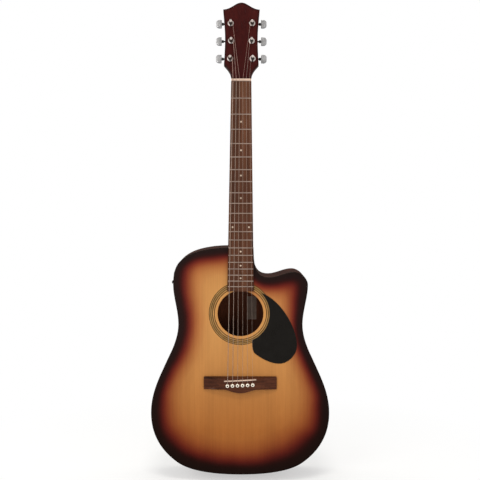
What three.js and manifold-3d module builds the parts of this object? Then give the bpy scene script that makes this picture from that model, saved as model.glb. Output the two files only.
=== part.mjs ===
// A steel-string acoustic guitar with a cutaway body, taken apart into its real pieces.
// All sizes are in millimetres. The guitar is drawn lying on its back: x runs across it with the
// treble side positive, y runs up the centre line from the tail end of the body, and z rises out
// of the top, whose outer face is z = 0. The last lines of this file stand it upright.

import * as THREE from 'three';
import { mergeVertices } from 'three/addons/utils/BufferGeometryUtils.js';
import Module from 'manifold-3d';

const wasm = await Module();
wasm.setup();

// ---- driving dimensions ---------------------------------------------------------------------

const GAP = 0.3;                        // left between pieces that touch

const SCALE = 648;                      // string length from the nut to the bridge line
const FRET_COUNT = 20;
const BODY_FRET = 14;                   // the fret that stands over the end of the body
const BODY_LENGTH = 502;
const NUT_Y = BODY_LENGTH + fretDistance(BODY_FRET);

const DEPTH_AT_NECK = 100;
const DEPTH_AT_TAIL = 121;
const PLATE = 3;                        // thickness of the top and of the back
const RIB = 2.3;                        // thickness of the bent sides
const LINING = 6;
const LINING_HEIGHT = 14;
const CURVE_STEPS = 6;                  // straight pieces along each stretch of the outline

const SOUNDHOLE_Y = 357.8;
const SOUNDHOLE_R = 50;
const ROSETTE_IN = 56.5;
const ROSETTE_OUT = 69.5;
const ROSETTE_DEEP = 0.9;
const RING_STEPS = 36;
const BACK_BARS = [95, 188, 277, 408];  // heights of the ladder bars on the back
const BLOCK_BASS_X = -42;               // the neck block's sides and its inner face
const BLOCK_TREBLE_X = 60;
const BLOCK_FROM_Y = 446;
const TAIL_BLOCK_HALF = 32;
const TAIL_BLOCK_THICK = 28;
const BRACE_HIGH = 12;
const BRACE_CROSSING = [0, 272];        // where the two long braces of the top cross

const BOARD_BOTTOM = GAP;
const BOARD_TOP = 6.8;
const BOARD_RADIUS = 400;               // camber across the fretboard
const BOARD_END_Y = NUT_Y - 454.3;
const FRET_HIGH = 1;
const FRET_WIDE = 2.4;
const HALF_NUT = 21.5;
const HALF_WIDENING = 0.01558;          // growth of the half width for each millimetre from the nut

const NECK_THICK = 14.5;                // wood behind the fretboard at the nut
const NECK_THICK_LOW = 16.5;            // and where the heel starts
const HEEL_LENGTH = 72;
const HEEL_CAP = 16;                    // the flat foot of the heel
const NUT_LONG = 5;

const HEAD_TILT = THREE.MathUtils.degToRad(14);
const HEAD_FACE_Z = 3.5;                // height of the tilted face, carried back to the nut line
const HEAD_START = 6;
const HEAD_THICK = 15;
const VENEER = 1.2;
const POST_SEATS = [[24.3, 52], [22.3, 93.1], [23.5, 134.2]];   // across, and up from the nut
const POST_HOLE_R = 5.2;
const WASHER_R = 7.5;
const WORM_OFFSET = 8.3;                // the worm runs this far beyond its post
const WORM_DEEP = -21.5;
const BUTTON_X = 49.3;
const BUTTON_INNER = -6;                // the button's two ends, measured from its own middle
const BUTTON_OUTER = 6.3;
const BUTTON_HALF = 9.5;
const FERRULE_LONG = 5;
const WINDING_R = 4.4;
const WINDING_MID = 5.6;

const BRIDGE_HALF = 80;
const BRIDGE_TAIL_Y = 191.3;
const BRIDGE_HEAD_Y = 219.3;
const BRIDGE_BELLY_Y = 183.6;
const BRIDGE_CORNER = 3;
const BRIDGE_TOP = 9.3;
const BRIDGE_WING = 3.4;
const SADDLE_MID = [-0.2, 211.7];
const SADDLE_LONG = 70.7;
const SADDLE_WIDE = 2.8;
const SADDLE_SLANT = Math.atan2(3.8, 70.6);
const SADDLE_TOP = 12;
const PICKUP_AT = [-32, 210];           // where the pickup's lead goes down through the bridge
const PIN_PITCH = 11.06;
const PIN_MID = [-0.45, 200.7];
const PIN_SLANT = 0.0415;               // rise of the pin row for each millimetre across

const STRING_DIAMETERS = [1.35, 1.07, 0.81, 0.61, 0.41, 0.31];
const NUT_PITCH = 7.1;
const SADDLE_PITCH = 10.9;
const STRING_OVER_FRET = 0.5;           // under the string at the nut

const PREAMP_Y = 432;
const PREAMP_HALF = 16;
const PREAMP_FRONT = -14;
const PREAMP_BACK = -89;
const PREAMP_WINDOW = 13;               // half the width of the hole in the side
const DOOR_HALF = 10.2;
const DOOR_BACK = -84.7;
const DOOR_FRONT = -55.8;
const KNOBS = [['volume_knob', -27], ['tone_knob', -41]];
const KNOB_Y = PREAMP_Y - 8.4;
const KNOB_R = 3;
const KNOB_FACE_X = -151.8;
const JACK_Z = -58;
const JACK_BORE_R = 6.6;
const JACK_PROUD = 12;
const STRAP_BUTTON_Y = BODY_LENGTH + 8.6;

// ---- surfaces -------------------------------------------------------------------------------

const spruce = look(0xc58a4c, 0.3, 0);
const sideWood = look(0x4a2a20, 0.35, 0);
const darkWood = look(0x45261d, 0.5, 0);
const paleWood = look(0xb9946a, 0.8, 0);
const neckWood = look(0x5a3325, 0.4, 0);
const chrome = look(0xc9cbce, 0.15, 1);
const steel = look(0x9b9ea2, 0.35, 1);
const bronze = look(0xb07a45, 0.4, 1);
const bone = look(0xe6dfca, 0.45, 0);
const blackPlastic = look(0x141414, 0.3, 0);
const matteBlack = look(0x1c1c1c, 0.7, 0);
const rubber = look(0x161616, 0.8, 0);
const veneerWood = look(0x35181a, 0.25, 0);
const ringWood = look(0x8c7c62, 0.4, 0);

const guitar = new THREE.Group();
const head = new THREE.Group();
head.position.set(0, NUT_Y, HEAD_FACE_Z);
head.rotation.x = -HEAD_TILT;
head.updateMatrix();
guitar.add(head);

const BACK_TILT = Math.atan2(DEPTH_AT_TAIL - DEPTH_AT_NECK, BODY_LENGTH);
const body = bodyOutline();

// ---- small helpers --------------------------------------------------------------------------

function look(color, roughness, metalness) {
  return new THREE.MeshStandardMaterial({ color, roughness, metalness });
}

function fretDistance(number) {
  return SCALE * (1 - 2 ** (-number / 12));
}

function halfNeck(y) {
  return HALF_NUT + HALF_WIDENING * (NUT_Y - y);
}

function camber(x) {
  return (x * x) / (2 * BOARD_RADIUS);
}

function solidOf(geometry) {
  const bare = geometry.clone();
  bare.deleteAttribute('normal');
  bare.deleteAttribute('uv');
  const merged = mergeVertices(bare, 1e-4);
  const vertProperties = new Float32Array(merged.attributes.position.array);
  const triVerts = new Uint32Array(merged.index.array);
  return new wasm.Manifold(new wasm.Mesh({ numProp: 3, vertProperties, triVerts }));
}

function geometryOf(solid) {
  const mesh = solid.getMesh();
  const geometry = new THREE.BufferGeometry();
  geometry.setAttribute('position', new THREE.BufferAttribute(mesh.vertProperties, 3));
  geometry.setIndex(new THREE.BufferAttribute(mesh.triVerts, 1));
  geometry.computeVertexNormals();
  return geometry;
}

function join(first, ...others) {
  return others.reduce((whole, piece) => whole.add(solidOf(piece)), solidOf(first));
}

function cut(solid, ...tools) {
  return tools.reduce((rest, tool) => rest.subtract(solidOf(tool)), solid);
}

function keep(solid, ...regions) {
  return regions.reduce((rest, region) => rest.intersect(solidOf(region)), solid);
}

function addPart(name, shape, surface, parent = guitar) {
  const geometry = shape.isBufferGeometry ? shape : geometryOf(shape);
  const mesh = new THREE.Mesh(geometry, surface);
  mesh.name = name;
  parent.add(mesh);
  return mesh;
}

function box(x0, x1, y0, y1, z0, z1) {
  const geometry = new THREE.BoxGeometry(Math.abs(x1 - x0), Math.abs(y1 - y0), Math.abs(z1 - z0));
  return geometry.translate((x0 + x1) / 2, (y0 + y1) / 2, (z0 + z1) / 2);
}

function flatPoints(pairs) {
  return pairs.map(([x, y]) => new THREE.Vector2(x, y));
}

// A flat piece of the given outline, from z0 up to z1.
function plate(outline, z0, z1, holes = [], steps = CURVE_STEPS) {
  const shape = outline instanceof THREE.Shape ? outline : new THREE.Shape(outline);
  shape.holes.push(...holes);
  const options = { depth: z1 - z0, bevelEnabled: false, curveSegments: steps };
  return new THREE.ExtrudeGeometry(shape, options).translate(0, 0, z0);
}

// A bar along y with the given cross-section, whose points are [x, z].
function beam(section, y0, y1) {
  const shape = new THREE.Shape(section.map(([x, z]) => new THREE.Vector2(x, z)));
  const options = { depth: y1 - y0, bevelEnabled: false };
  return new THREE.ExtrudeGeometry(shape, options).rotateX(Math.PI / 2).translate(0, y1, 0);
}

function circle(x, y, radius) {
  return new THREE.Path().absarc(x, y, radius, 0, 2 * Math.PI, true);
}

function disc(x, y, radius, z0, z1, steps = 12) {
  const geometry = new THREE.CylinderGeometry(radius, radius, z1 - z0, steps).rotateX(Math.PI / 2);
  return geometry.translate(x, y, (z0 + z1) / 2);
}

// A round bar along x.
function crossRod(x0, x1, y, z, radius, steps = 12) {
  const geometry = new THREE.CylinderGeometry(radius, radius, Math.abs(x1 - x0), steps);
  return geometry.rotateZ(Math.PI / 2).translate((x0 + x1) / 2, y, z);
}

// A round bar along y.
function longRod(y0, y1, x, z, radius, steps = 12) {
  return new THREE.CylinderGeometry(radius, radius, y1 - y0, steps).translate(x, (y0 + y1) / 2, z);
}

// A turned piece about z; the profile's points are [radius, z].
function turned(profile, steps = 12) {
  const points = profile.map(([radius, z]) => new THREE.Vector2(radius, z));
  return new THREE.LatheGeometry(points, steps).rotateX(Math.PI / 2);
}

// A straight-sided route, sampled only at its own corners.
class Route extends THREE.Curve {
  constructor(points) {
    super();
    this.points = points.map((point) => new THREE.Vector3(...point));
  }

  corner(t) {
    return Math.round(t * (this.points.length - 1));
  }

  getPoint(t, target = new THREE.Vector3()) {
    return target.copy(this.points[this.corner(t)]);
  }

  getSpacedPoints() {
    return this.points.map((point) => point.clone());
  }

  getTangentAt(t, target = new THREE.Vector3()) {
    const here = this.corner(t);
    const before = this.points[Math.max(here - 1, 0)];
    const after = this.points[Math.min(here + 1, this.points.length - 1)];
    const arriving = this.points[here].clone().sub(before).normalize();
    const leaving = after.clone().sub(this.points[here]).normalize();
    return target.copy(arriving.add(leaving).normalize());
  }
}

function wire(points, radius) {
  const route = new Route(points);
  const section = new THREE.Shape().absarc(0, 0, radius, 0, 2 * Math.PI);
  const options = { steps: points.length - 1, extrudePath: route, curveSegments: 3 };
  return new THREE.ExtrudeGeometry(section, options);
}

// A skin through rings of equal point count, closed by flat ends.
function loft(rings) {
  const count = rings[0].length;
  const positions = rings.flat().flatMap((point) => point.toArray());
  const index = [];
  for (let ring = 0; ring < rings.length - 1; ring++) {
    for (let i = 0; i < count; i++) {
      const a = ring * count + i;
      const b = ring * count + ((i + 1) % count);
      index.push(a, b, a + count, b, b + count, a + count);
    }
  }
  const last = (rings.length - 1) * count;
  for (let i = 1; i < count - 1; i++) {
    index.push(0, i + 1, i);
    index.push(last, last + i, last + i + 1);
  }
  const geometry = new THREE.BufferGeometry();
  geometry.setAttribute('position', new THREE.Float32BufferAttribute(positions, 3));
  geometry.setIndex(index);
  geometry.computeVertexNormals();
  return geometry;
}

// ---- the body -------------------------------------------------------------------------------

// The outline runs from the tail up the treble side, round the cutaway, and down the bass side.
function bodyOutline() {
  const line = new THREE.Path();
  line.moveTo(0, 0);
  line.bezierCurveTo(65.7, 0, 113.8, 9.1, 138.4, 27.2);
  line.bezierCurveTo(167.6, 48.6, 196.2, 81.6, 196.2, 138);
  line.bezierCurveTo(196.2, 215, 136, 272.2, 136, 333.8);
  line.bezierCurveTo(136, 364.2, 147.3, 393.6, 147.3, 420);
  line.bezierCurveTo(147.3, 436.2, 131.1, 449.3, 117, 449.3);
  line.bezierCurveTo(97.4, 449.3, 81.4, 437.5, 62, 437.5);
  line.bezierCurveTo(28.7, 437.5, 29.2, 469.6, 28, BODY_LENGTH);
  line.lineTo(-28.5, BODY_LENGTH);
  line.bezierCurveTo(-66.7, BODY_LENGTH, -97.8, 494, -113, 485.9);
  line.bezierCurveTo(-138.7, 472.2, -147.3, 456.6, -147.3, 420);
  line.bezierCurveTo(-147.3, 393.6, -136, 364.2, -136, 333.8);
  line.bezierCurveTo(-136, 272.2, -196.2, 215, -196.2, 138);
  line.bezierCurveTo(-196.2, 81.6, -167.6, 48.6, -138.4, 27.2);
  line.bezierCurveTo(-113.8, 9.1, -65.7, 0, 0, 0);
  const points = line.getPoints(CURVE_STEPS);
  points.pop();
  return points;
}

// The outline moved inwards, or outwards for a negative distance.
function inset(distance) {
  return body.map((point, i) => {
    const before = body.at(i - 1);
    const after = body[(i + 1) % body.length];
    const arriving = point.clone().sub(before).normalize();
    const leaving = after.clone().sub(point).normalize();
    const square = new THREE.Vector2(-arriving.y, arriving.x);
    const inward = new THREE.Vector2(-leaving.y, leaving.x).add(square).normalize();
    return point.clone().addScaledVector(inward, distance / inward.dot(square));
  });
}

function band(outer, inner, z0, z1) {
  return cut(join(plate(inset(outer), z0, z1)), plate(inset(inner), z0 - 1, z1 + 1));
}

// The space between two levels measured up from the back's outer face, which is tilted.
function aboveBack(low, high) {
  const slab = box(-300, 300, -100, 700, low, high);
  return slab.rotateX(BACK_TILT).translate(0, 0, -DEPTH_AT_TAIL);
}

function makeBody() {
  const deep = -DEPTH_AT_TAIL - 5;
  const top = cut(
    join(plate(body, -PLATE, 0, [circle(0, SOUNDHOLE_Y, SOUNDHOLE_R)], RING_STEPS / 2)),
    ringPlate(ROSETTE_IN - GAP, ROSETTE_OUT + GAP, -ROSETTE_DEEP - GAP, 1),
    ...pinHoles(-PLATE - 1, 1),
    pickupHole(-PLATE - 1, 1),
  );
  addPart('top_plate', top, spruce);
  addPart('back_plate', keep(join(plate(body, deep, 0)), aboveBack(0, PLATE)), sideWood);

  const jackBore = longRod(-5, 60, 0, JACK_Z, JACK_BORE_R, 12);
  const rodSlot = box(-4, 4, 400, 520, -12, 0);
  const window = box(-160, -140, PREAMP_Y - PREAMP_WINDOW, PREAMP_Y + PREAMP_WINDOW, -85.3, -17.7);
  const ribs = keep(band(0, RIB, deep, -PLATE - GAP), aboveBack(PLATE + GAP, 300));
  const bassHalf = keep(ribs, box(-300, -GAP / 2, -50, 600, -200, 50));
  const trebleHalf = keep(ribs, box(GAP / 2, 300, -50, 600, -200, 50));
  addPart('side_bass', cut(bassHalf, jackBore, rodSlot, window), sideWood);
  addPart('side_treble', cut(trebleHalf, jackBore, rodSlot), sideWood);

  const inside = RIB + GAP;
  const blockSpace = box(BLOCK_BASS_X - GAP, BLOCK_TREBLE_X, BLOCK_FROM_Y - GAP, 600, -200, 50);
  const underTop = -PLATE - GAP;
  const topRing = band(inside, inside + LINING, underTop - LINING_HEIGHT, underTop);
  addPart('top_lining', cut(topRing, blockSpace), paleWood);
  const backBand = band(inside, inside + LINING, deep, underTop);
  const backRing = keep(backBand, aboveBack(PLATE + GAP, PLATE + GAP + LINING_HEIGHT));
  addPart('back_lining', cut(backRing, blockSpace), paleWood);

  const hollow = join(plate(inset(inside), deep, underTop));
  const room = keep(hollow, aboveBack(PLATE + GAP, 300));
  const blockZone = box(BLOCK_BASS_X, BLOCK_TREBLE_X, BLOCK_FROM_Y, 520, -200, 50);
  addPart('neck_block', cut(keep(room, blockZone), rodSlot), paleWood);
  const tailZone = box(-TAIL_BLOCK_HALF, TAIL_BLOCK_HALF, 0, TAIL_BLOCK_THICK, -200, 50);
  const tail = cut(keep(room, tailZone), jackBore);
  const nearLining = inside + LINING + GAP;
  const topNotch = band(0, nearLining, underTop - LINING_HEIGHT - GAP, 0);
  const backZone = aboveBack(0, PLATE + LINING_HEIGHT + 2 * GAP);
  const backNotch = keep(band(0, nearLining, deep, underTop), backZone);
  addPart('tail_block', tail.subtract(topNotch).subtract(backNotch), paleWood);
}

function ringPlate(inner, outer, z0, z1) {
  const shape = new THREE.Shape().absarc(0, SOUNDHOLE_Y, outer, 0, 2 * Math.PI);
  return plate(shape, z0, z1, [circle(0, SOUNDHOLE_Y, inner)], RING_STEPS / 2);
}

// A straight bar glued under the top or on the back, from one [x, y] to another.
function bar(from, to, wide, z0, z1) {
  const start = new THREE.Vector2(...from);
  const along = new THREE.Vector2(...to).sub(start);
  const geometry = box(0, along.length(), -wide / 2, wide / 2, z0, z1);
  return geometry.rotateZ(along.angle()).translate(start.x, start.y, 0);
}

function makeBracing() {
  const z1 = -PLATE - GAP;
  const z0 = z1 - BRACE_HIGH;
  const [middle, level] = BRACE_CROSSING;
  const reach = 170;
  const legs = [[-1, -1], [1, -1], [-1, 1], [1, 1]].map(([across, up]) =>
    bar(BRACE_CROSSING, [middle + across * reach, level + up * reach], 8, z0, z1));
  const bars = join(
    ...legs,
    bar([90, 182], [-85, 115], 7, z0 + 3, z1),
    bar([120, 152], [-35, 62], 7, z0 + 3, z1),
    bar([62, 326], [62, 418], 6, z0 + 6, z1),
    bar([-62, 326], [-62, 418], 6, z0 + 6, z1),
    bar([-160, 416], [160, 416], 10, z0, z1),
  );
  const withinLining = RIB + LINING + 3 * GAP;
  addPart('top_bracing', keep(bars, plate(inset(withinLining), z0 - 1, 0)), paleWood);

  const corners = [[-78, 185], [78, 185], [43, 222], [-43, 222]];
  const underBridge = join(plate(flatPoints(corners), z1 - 3, z1));
  addPart('bridge_plate', cut(underBridge, ...pinHoles(z1 - 5, 1), pickupHole(z1 - 5, 1)), paleWood);

  const deep = -DEPTH_AT_TAIL - 5;
  const low = PLATE + GAP;
  const ladder = join(...BACK_BARS.map((y) => box(-200, 200, y - 5, y + 5, deep, 0)));
  const tall = keep(ladder, aboveBack(low, low + 13));
  const strip = keep(join(box(-10, 10, 36, 436, deep, 0)), aboveBack(low, low + 2.5));
  const all = keep(tall.add(strip), plate(inset(withinLining), deep, 0));
  addPart('back_bracing', all, paleWood);
}

function makeRosetteAndGuard() {
  addPart('rosette', ringPlate(ROSETTE_IN, ROSETTE_OUT, -ROSETTE_DEEP, 0), ringWood);
  const outline = new THREE.Shape();
  outline.moveTo(45, 403.5);
  outline.bezierCurveTo(91.8, 386.6, 124, 323.2, 124, 288);
  outline.bezierCurveTo(124, 267, 105.1, 247.6, 85, 247.6);
  outline.bezierCurveTo(68, 247.6, 45, 258.5, 31, 271);
  outline.bezierCurveTo(27.5, 275, 25.6, 283, 25.9, 299.5);
  const start = Math.atan2(299.5 - SOUNDHOLE_Y, 25.9);
  const end = Math.atan2(403.5 - SOUNDHOLE_Y, 45);
  outline.absarc(0, SOUNDHOLE_Y, 63.9, start, end, false);
  addPart('pickguard', plate(outline, GAP, GAP + 0.9, [], 10), blackPlastic);
}

// ---- the neck and the head ------------------------------------------------------------------

// A rounded neck section in the plane of the given y: flat above, curved below.
function neckSection(y, halfWide, top, bottom, fullness) {
  const steps = 10;
  const ring = [];
  for (let i = 0; i <= steps; i++) {
    const turn = (Math.PI * i) / steps;
    const across = Math.sign(Math.cos(turn)) * Math.abs(Math.cos(turn)) ** fullness;
    const down = Math.sin(turn) ** fullness;
    ring.push(new THREE.Vector3(across * halfWide, y, top - (top - bottom) * down));
  }
  return ring;
}

function makeNeck() {
  const foot = BODY_LENGTH + GAP;
  const heelTop = foot + HEEL_LENGTH;
  const sections = [];
  for (const far of [0, HEEL_CAP, 19, 23, 29, 37, 47, 60]) {
    const rise = (1 - Math.max(far - HEEL_CAP, 0) / (HEEL_LENGTH - HEEL_CAP)) ** 2.6;
    const bottom = -THREE.MathUtils.lerp(NECK_THICK_LOW, DEPTH_AT_NECK - 1, rise);
    const fullness = THREE.MathUtils.lerp(0.85, 0.5, rise);
    sections.push(neckSection(foot + far, halfNeck(foot + far), 0, bottom, fullness));
  }
  const headEnd = NUT_Y + HEAD_START;
  sections.push(neckSection(heelTop, halfNeck(heelTop), 0, -NECK_THICK_LOW, 0.85));
  sections.push(neckSection(NUT_Y - 20, halfNeck(NUT_Y - 20), 0, -NECK_THICK, 0.85));
  sections.push(neckSection(headEnd, HALF_NUT, 0, -NECK_THICK - 0.6, 0.75));
  sections.push(neckSection(headEnd + 1, HALF_NUT, -1.6, -NECK_THICK - 0.8, 0.7));
  sections.push(neckSection(headEnd + 24, HALF_NUT, -8, -NECK_THICK - 4.2, 0.6));

  const headWood = plate(headOutline(), -HEAD_THICK, -VENEER - GAP, postHoles(), 5);
  const rodSlot = box(-2.6, 2.6, 400, NUT_Y - 10, -8.8, 1);
  const strapScrew = disc(0, STRAP_BUTTON_Y, 1.9, -DEPTH_AT_NECK - 5, -DEPTH_AT_NECK + 16, 8);
  const wood = join(loft(sections), headWood.applyMatrix4(head.matrix));
  addPart('neck', cut(wood, rodSlot, strapScrew), neckWood);

  const rodZ = -6.2;
  const rod = join(longRod(460, NUT_Y - 12, 0, rodZ, 2.2, 8), longRod(450, 464, 0, rodZ, 2.8, 6));
  addPart('truss_rod', rod, steel);
}

// The head's outline in its own plane: y is measured along its face from the nut line.
function headOutline() {
  const half = new THREE.Path();
  half.moveTo(21.3, HEAD_START);
  half.bezierCurveTo(22.8, 15, 20.5, 21, 37.6, 39.6);
  half.bezierCurveTo(36.7, 54, 35.5, 78, 35.5, 95);
  half.bezierCurveTo(35.5, 118, 38.2, 146, 40, 167.1);
  half.bezierCurveTo(22.3, 167.6, 13.2, 183.6, 0, 183.6);
  const right = half.getPoints(CURVE_STEPS);
  const left = right.slice(0, -1).reverse().map((point) => new THREE.Vector2(-point.x, point.y));
  return [...right, ...left];
}

function postHoles() {
  return POST_SEATS.flatMap(([x, y]) => [circle(x, y, POST_HOLE_R), circle(-x, y, POST_HOLE_R)]);
}

function makeHeadVeneer() {
  addPart('head_veneer', plate(headOutline(), -VENEER, 0, postHoles(), 5), veneerWood, head);
}

// The arch that the fretboard, the frets and the nut share, from one level up to the cambered top.
function archSection(halfWide, bottom, top) {
  const steps = 4;
  const section = [[halfWide, bottom], [-halfWide, bottom]];
  for (let i = 0; i <= steps; i++) {
    const x = THREE.MathUtils.lerp(-halfWide, halfWide, i / steps);
    section.push([x, top - camber(x)]);
  }
  return section;
}

function makeFretboard() {
  const widest = halfNeck(BOARD_END_Y) + 2;
  const end = NUT_Y - GAP;
  const frets = [];
  for (let number = 1; number <= FRET_COUNT; number++) {
    const y = NUT_Y - fretDistance(number);
    const section = archSection(widest, BOARD_TOP - 2, BOARD_TOP + FRET_HIGH);
    frets.push(beam(section, y - FRET_WIDE / 2, y + FRET_WIDE / 2));
  }
  const board = beam(archSection(widest, BOARD_BOTTOM, BOARD_TOP), BOARD_END_Y, end);
  const low = halfNeck(BOARD_END_Y);
  const sides = [[-low, BOARD_END_Y], [low, BOARD_END_Y], [HALF_NUT, end], [-HALF_NUT, end]];
  addPart('fretboard', keep(join(board, ...frets), plate(flatPoints(sides), 0, 20)), darkWood);

  const stringBottom = BOARD_TOP + FRET_HIGH + STRING_OVER_FRET;
  const block = join(beam(archSection(HALF_NUT, GAP, stringBottom + 1), NUT_Y, NUT_Y + NUT_LONG));
  const slots = STRING_DIAMETERS.map((diameter, i) => {
    const x = stringAcross(i, NUT_PITCH);
    const half = diameter / 2 + GAP;
    return box(x - half, x + half, NUT_Y - 5, NUT_Y + 15, stringBottom - camber(x) - GAP, 20);
  });
  addPart('nut', cut(block, ...slots), bone);
}

// ---- the bridge and the strings -------------------------------------------------------------

function stringAcross(i, pitch) {
  return (i - (STRING_DIAMETERS.length - 1) / 2) * pitch;
}

function pinAt(i) {
  const across = stringAcross(i, PIN_PITCH);
  return [PIN_MID[0] + across, PIN_MID[1] + across * PIN_SLANT];
}

// Each pin hole carries a groove on its saddle side for the string.
function pinHoles(z0, z1) {
  return STRING_DIAMETERS.map((_, i) => {
    const [x, y] = pinAt(i);
    const outline = new THREE.Shape();
    outline.absarc(x, y, 2.9, Math.PI * 0.62, Math.PI * 2.38, false);
    outline.lineTo(x + 1.1, y + 6.2);
    outline.lineTo(x - 1.1, y + 6.2);
    return plate(outline, z0, z1, [], 4);
  });
}

function pickupHole(z0, z1) {
  return disc(...PICKUP_AT, 1.9, z0, z1, 8);
}

function onSaddleLine(geometry) {
  return geometry.rotateZ(SADDLE_SLANT).translate(...SADDLE_MID, 0);
}

function bridgeOutline() {
  const outline = new THREE.Shape();
  const wing = BRIDGE_HALF - BRIDGE_CORNER;
  outline.moveTo(-wing, BRIDGE_HEAD_Y);
  outline.quadraticCurveTo(-BRIDGE_HALF, BRIDGE_HEAD_Y, -BRIDGE_HALF, BRIDGE_HEAD_Y - BRIDGE_CORNER);
  outline.lineTo(-BRIDGE_HALF, BRIDGE_TAIL_Y + BRIDGE_CORNER);
  outline.quadraticCurveTo(-BRIDGE_HALF, BRIDGE_TAIL_Y, -wing, BRIDGE_TAIL_Y);
  outline.lineTo(-39, BRIDGE_TAIL_Y);
  outline.bezierCurveTo(-25, BRIDGE_TAIL_Y, -18, BRIDGE_BELLY_Y, 0, BRIDGE_BELLY_Y);
  outline.bezierCurveTo(18, BRIDGE_BELLY_Y, 25, BRIDGE_TAIL_Y, 39, BRIDGE_TAIL_Y);
  outline.lineTo(wing, BRIDGE_TAIL_Y);
  outline.quadraticCurveTo(BRIDGE_HALF, BRIDGE_TAIL_Y, BRIDGE_HALF, BRIDGE_TAIL_Y + BRIDGE_CORNER);
  outline.lineTo(BRIDGE_HALF, BRIDGE_HEAD_Y - BRIDGE_CORNER);
  outline.quadraticCurveTo(BRIDGE_HALF, BRIDGE_HEAD_Y, wing, BRIDGE_HEAD_Y);
  return outline;
}

function makeBridge() {
  const slotHalf = SADDLE_WIDE / 2 + GAP;
  const slotLong = SADDLE_LONG / 2 + GAP;
  const slot = onSaddleLine(box(-slotLong, slotLong, -slotHalf, slotHalf, 3.2, 20));
  const rise = [[90, BRIDGE_WING], [68, 3.9], [58, 5], [50, 7.6], [43, BRIDGE_TOP]];
  const lower = rise.map(([x, z]) => [-x, z]);
  const sideView = [[90, GAP], ...rise, ...lower.reverse(), [-90, GAP]];
  const blank = keep(join(plate(bridgeOutline(), GAP, 20)), beam(sideView, 150, 250));
  addPart('bridge', cut(blank, slot, ...pinHoles(-1, 20), pickupHole(-1, 5)), darkWood);

  const top = archSection(SADDLE_LONG / 2, 4.7, SADDLE_TOP);
  addPart('saddle', onSaddleLine(beam(top, -SADDLE_WIDE / 2, SADDLE_WIDE / 2)), bone);
  STRING_DIAMETERS.forEach((_, i) => makePin(i));
  makePickup();
}

function makePin(i) {
  const [x, y] = pinAt(i);
  const seat = BRIDGE_TOP + GAP;
  const profile = [
    [0, -14], [1.7, -14], [2.3, seat], [4, seat], [4, seat + 0.9], [2.8, seat + 2.4], [0, seat + 3.1],
  ];
  const mesh = addPart(`bridge_pin_${i + 1}`, turned(profile, 10), bone);
  mesh.position.set(x, y, 0);
}

// A piezo strip under the saddle, with its lead down to the preamp.
function makePickup() {
  const strip = onSaddleLine(box(-33.5, 34, -1.2, 1.2, 3.5, 4.4));
  const route = [
    [...PICKUP_AT, 4], [...PICKUP_AT, -20], [-35, 212, -28], [-60, 222, -36], [-92, 246, -38],
    [-106, 280, -38], [-108, 340, -38], [-110, 400, -40], [-110, 419.2, -40],
  ];
  addPart('pickup', join(strip, wire(route, 1.2)), rubber);
}

function makeStrings() {
  STRING_DIAMETERS.forEach((diameter, i) => {
    const radius = diameter / 2;
    const [pinX, pinY] = pinAt(i);
    const down = pinY + 4.9;
    const saddleX = stringAcross(i, SADDLE_PITCH) + SADDLE_MID[0];
    const saddleY = SADDLE_MID[1] + (saddleX - SADDLE_MID[0]) * Math.tan(SADDLE_SLANT);
    const saddleZ = SADDLE_TOP - camber(saddleX) + GAP + radius;
    const nutX = stringAcross(i, NUT_PITCH);
    const nutZ = BOARD_TOP + FRET_HIGH + STRING_OVER_FRET - camber(nutX) + radius;
    const ball = -PLATE - 8;
    const route = [
      [pinX, down, ball],
      [pinX, down, BRIDGE_TOP - 1],
      [pinX, down + 0.6, BRIDGE_TOP + 0.3],
      [saddleX, saddleY - SADDLE_WIDE / 2 - 0.2, saddleZ],
      [saddleX, saddleY + SADDLE_WIDE / 2, saddleZ],
      [nutX, NUT_Y, nutZ],
      [nutX, NUT_Y + NUT_LONG + 0.4, nutZ],
      postEnd(i, radius).toArray(),
    ];
    const end = disc(pinX, down - 0.7, 1.9, ball - 3.6, ball, 8);
    const name = `string_${STRING_DIAMETERS.length - i}`;
    addPart(name, join(wire(route, radius), end), i < 4 ? bronze : steel);
  });
}

// Where a string reaches the inner side of the winding on its post.
function postEnd(i, radius) {
  const side = i < 3 ? -1 : 1;
  const [postX, postY] = POST_SEATS[i < 3 ? i : 5 - i];
  const x = side * (postX - WINDING_R - radius - GAP);
  return new THREE.Vector3(x, postY, WINDING_MID).applyMatrix4(head.matrix);
}

// ---- the tuners -----------------------------------------------------------------------------

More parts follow.
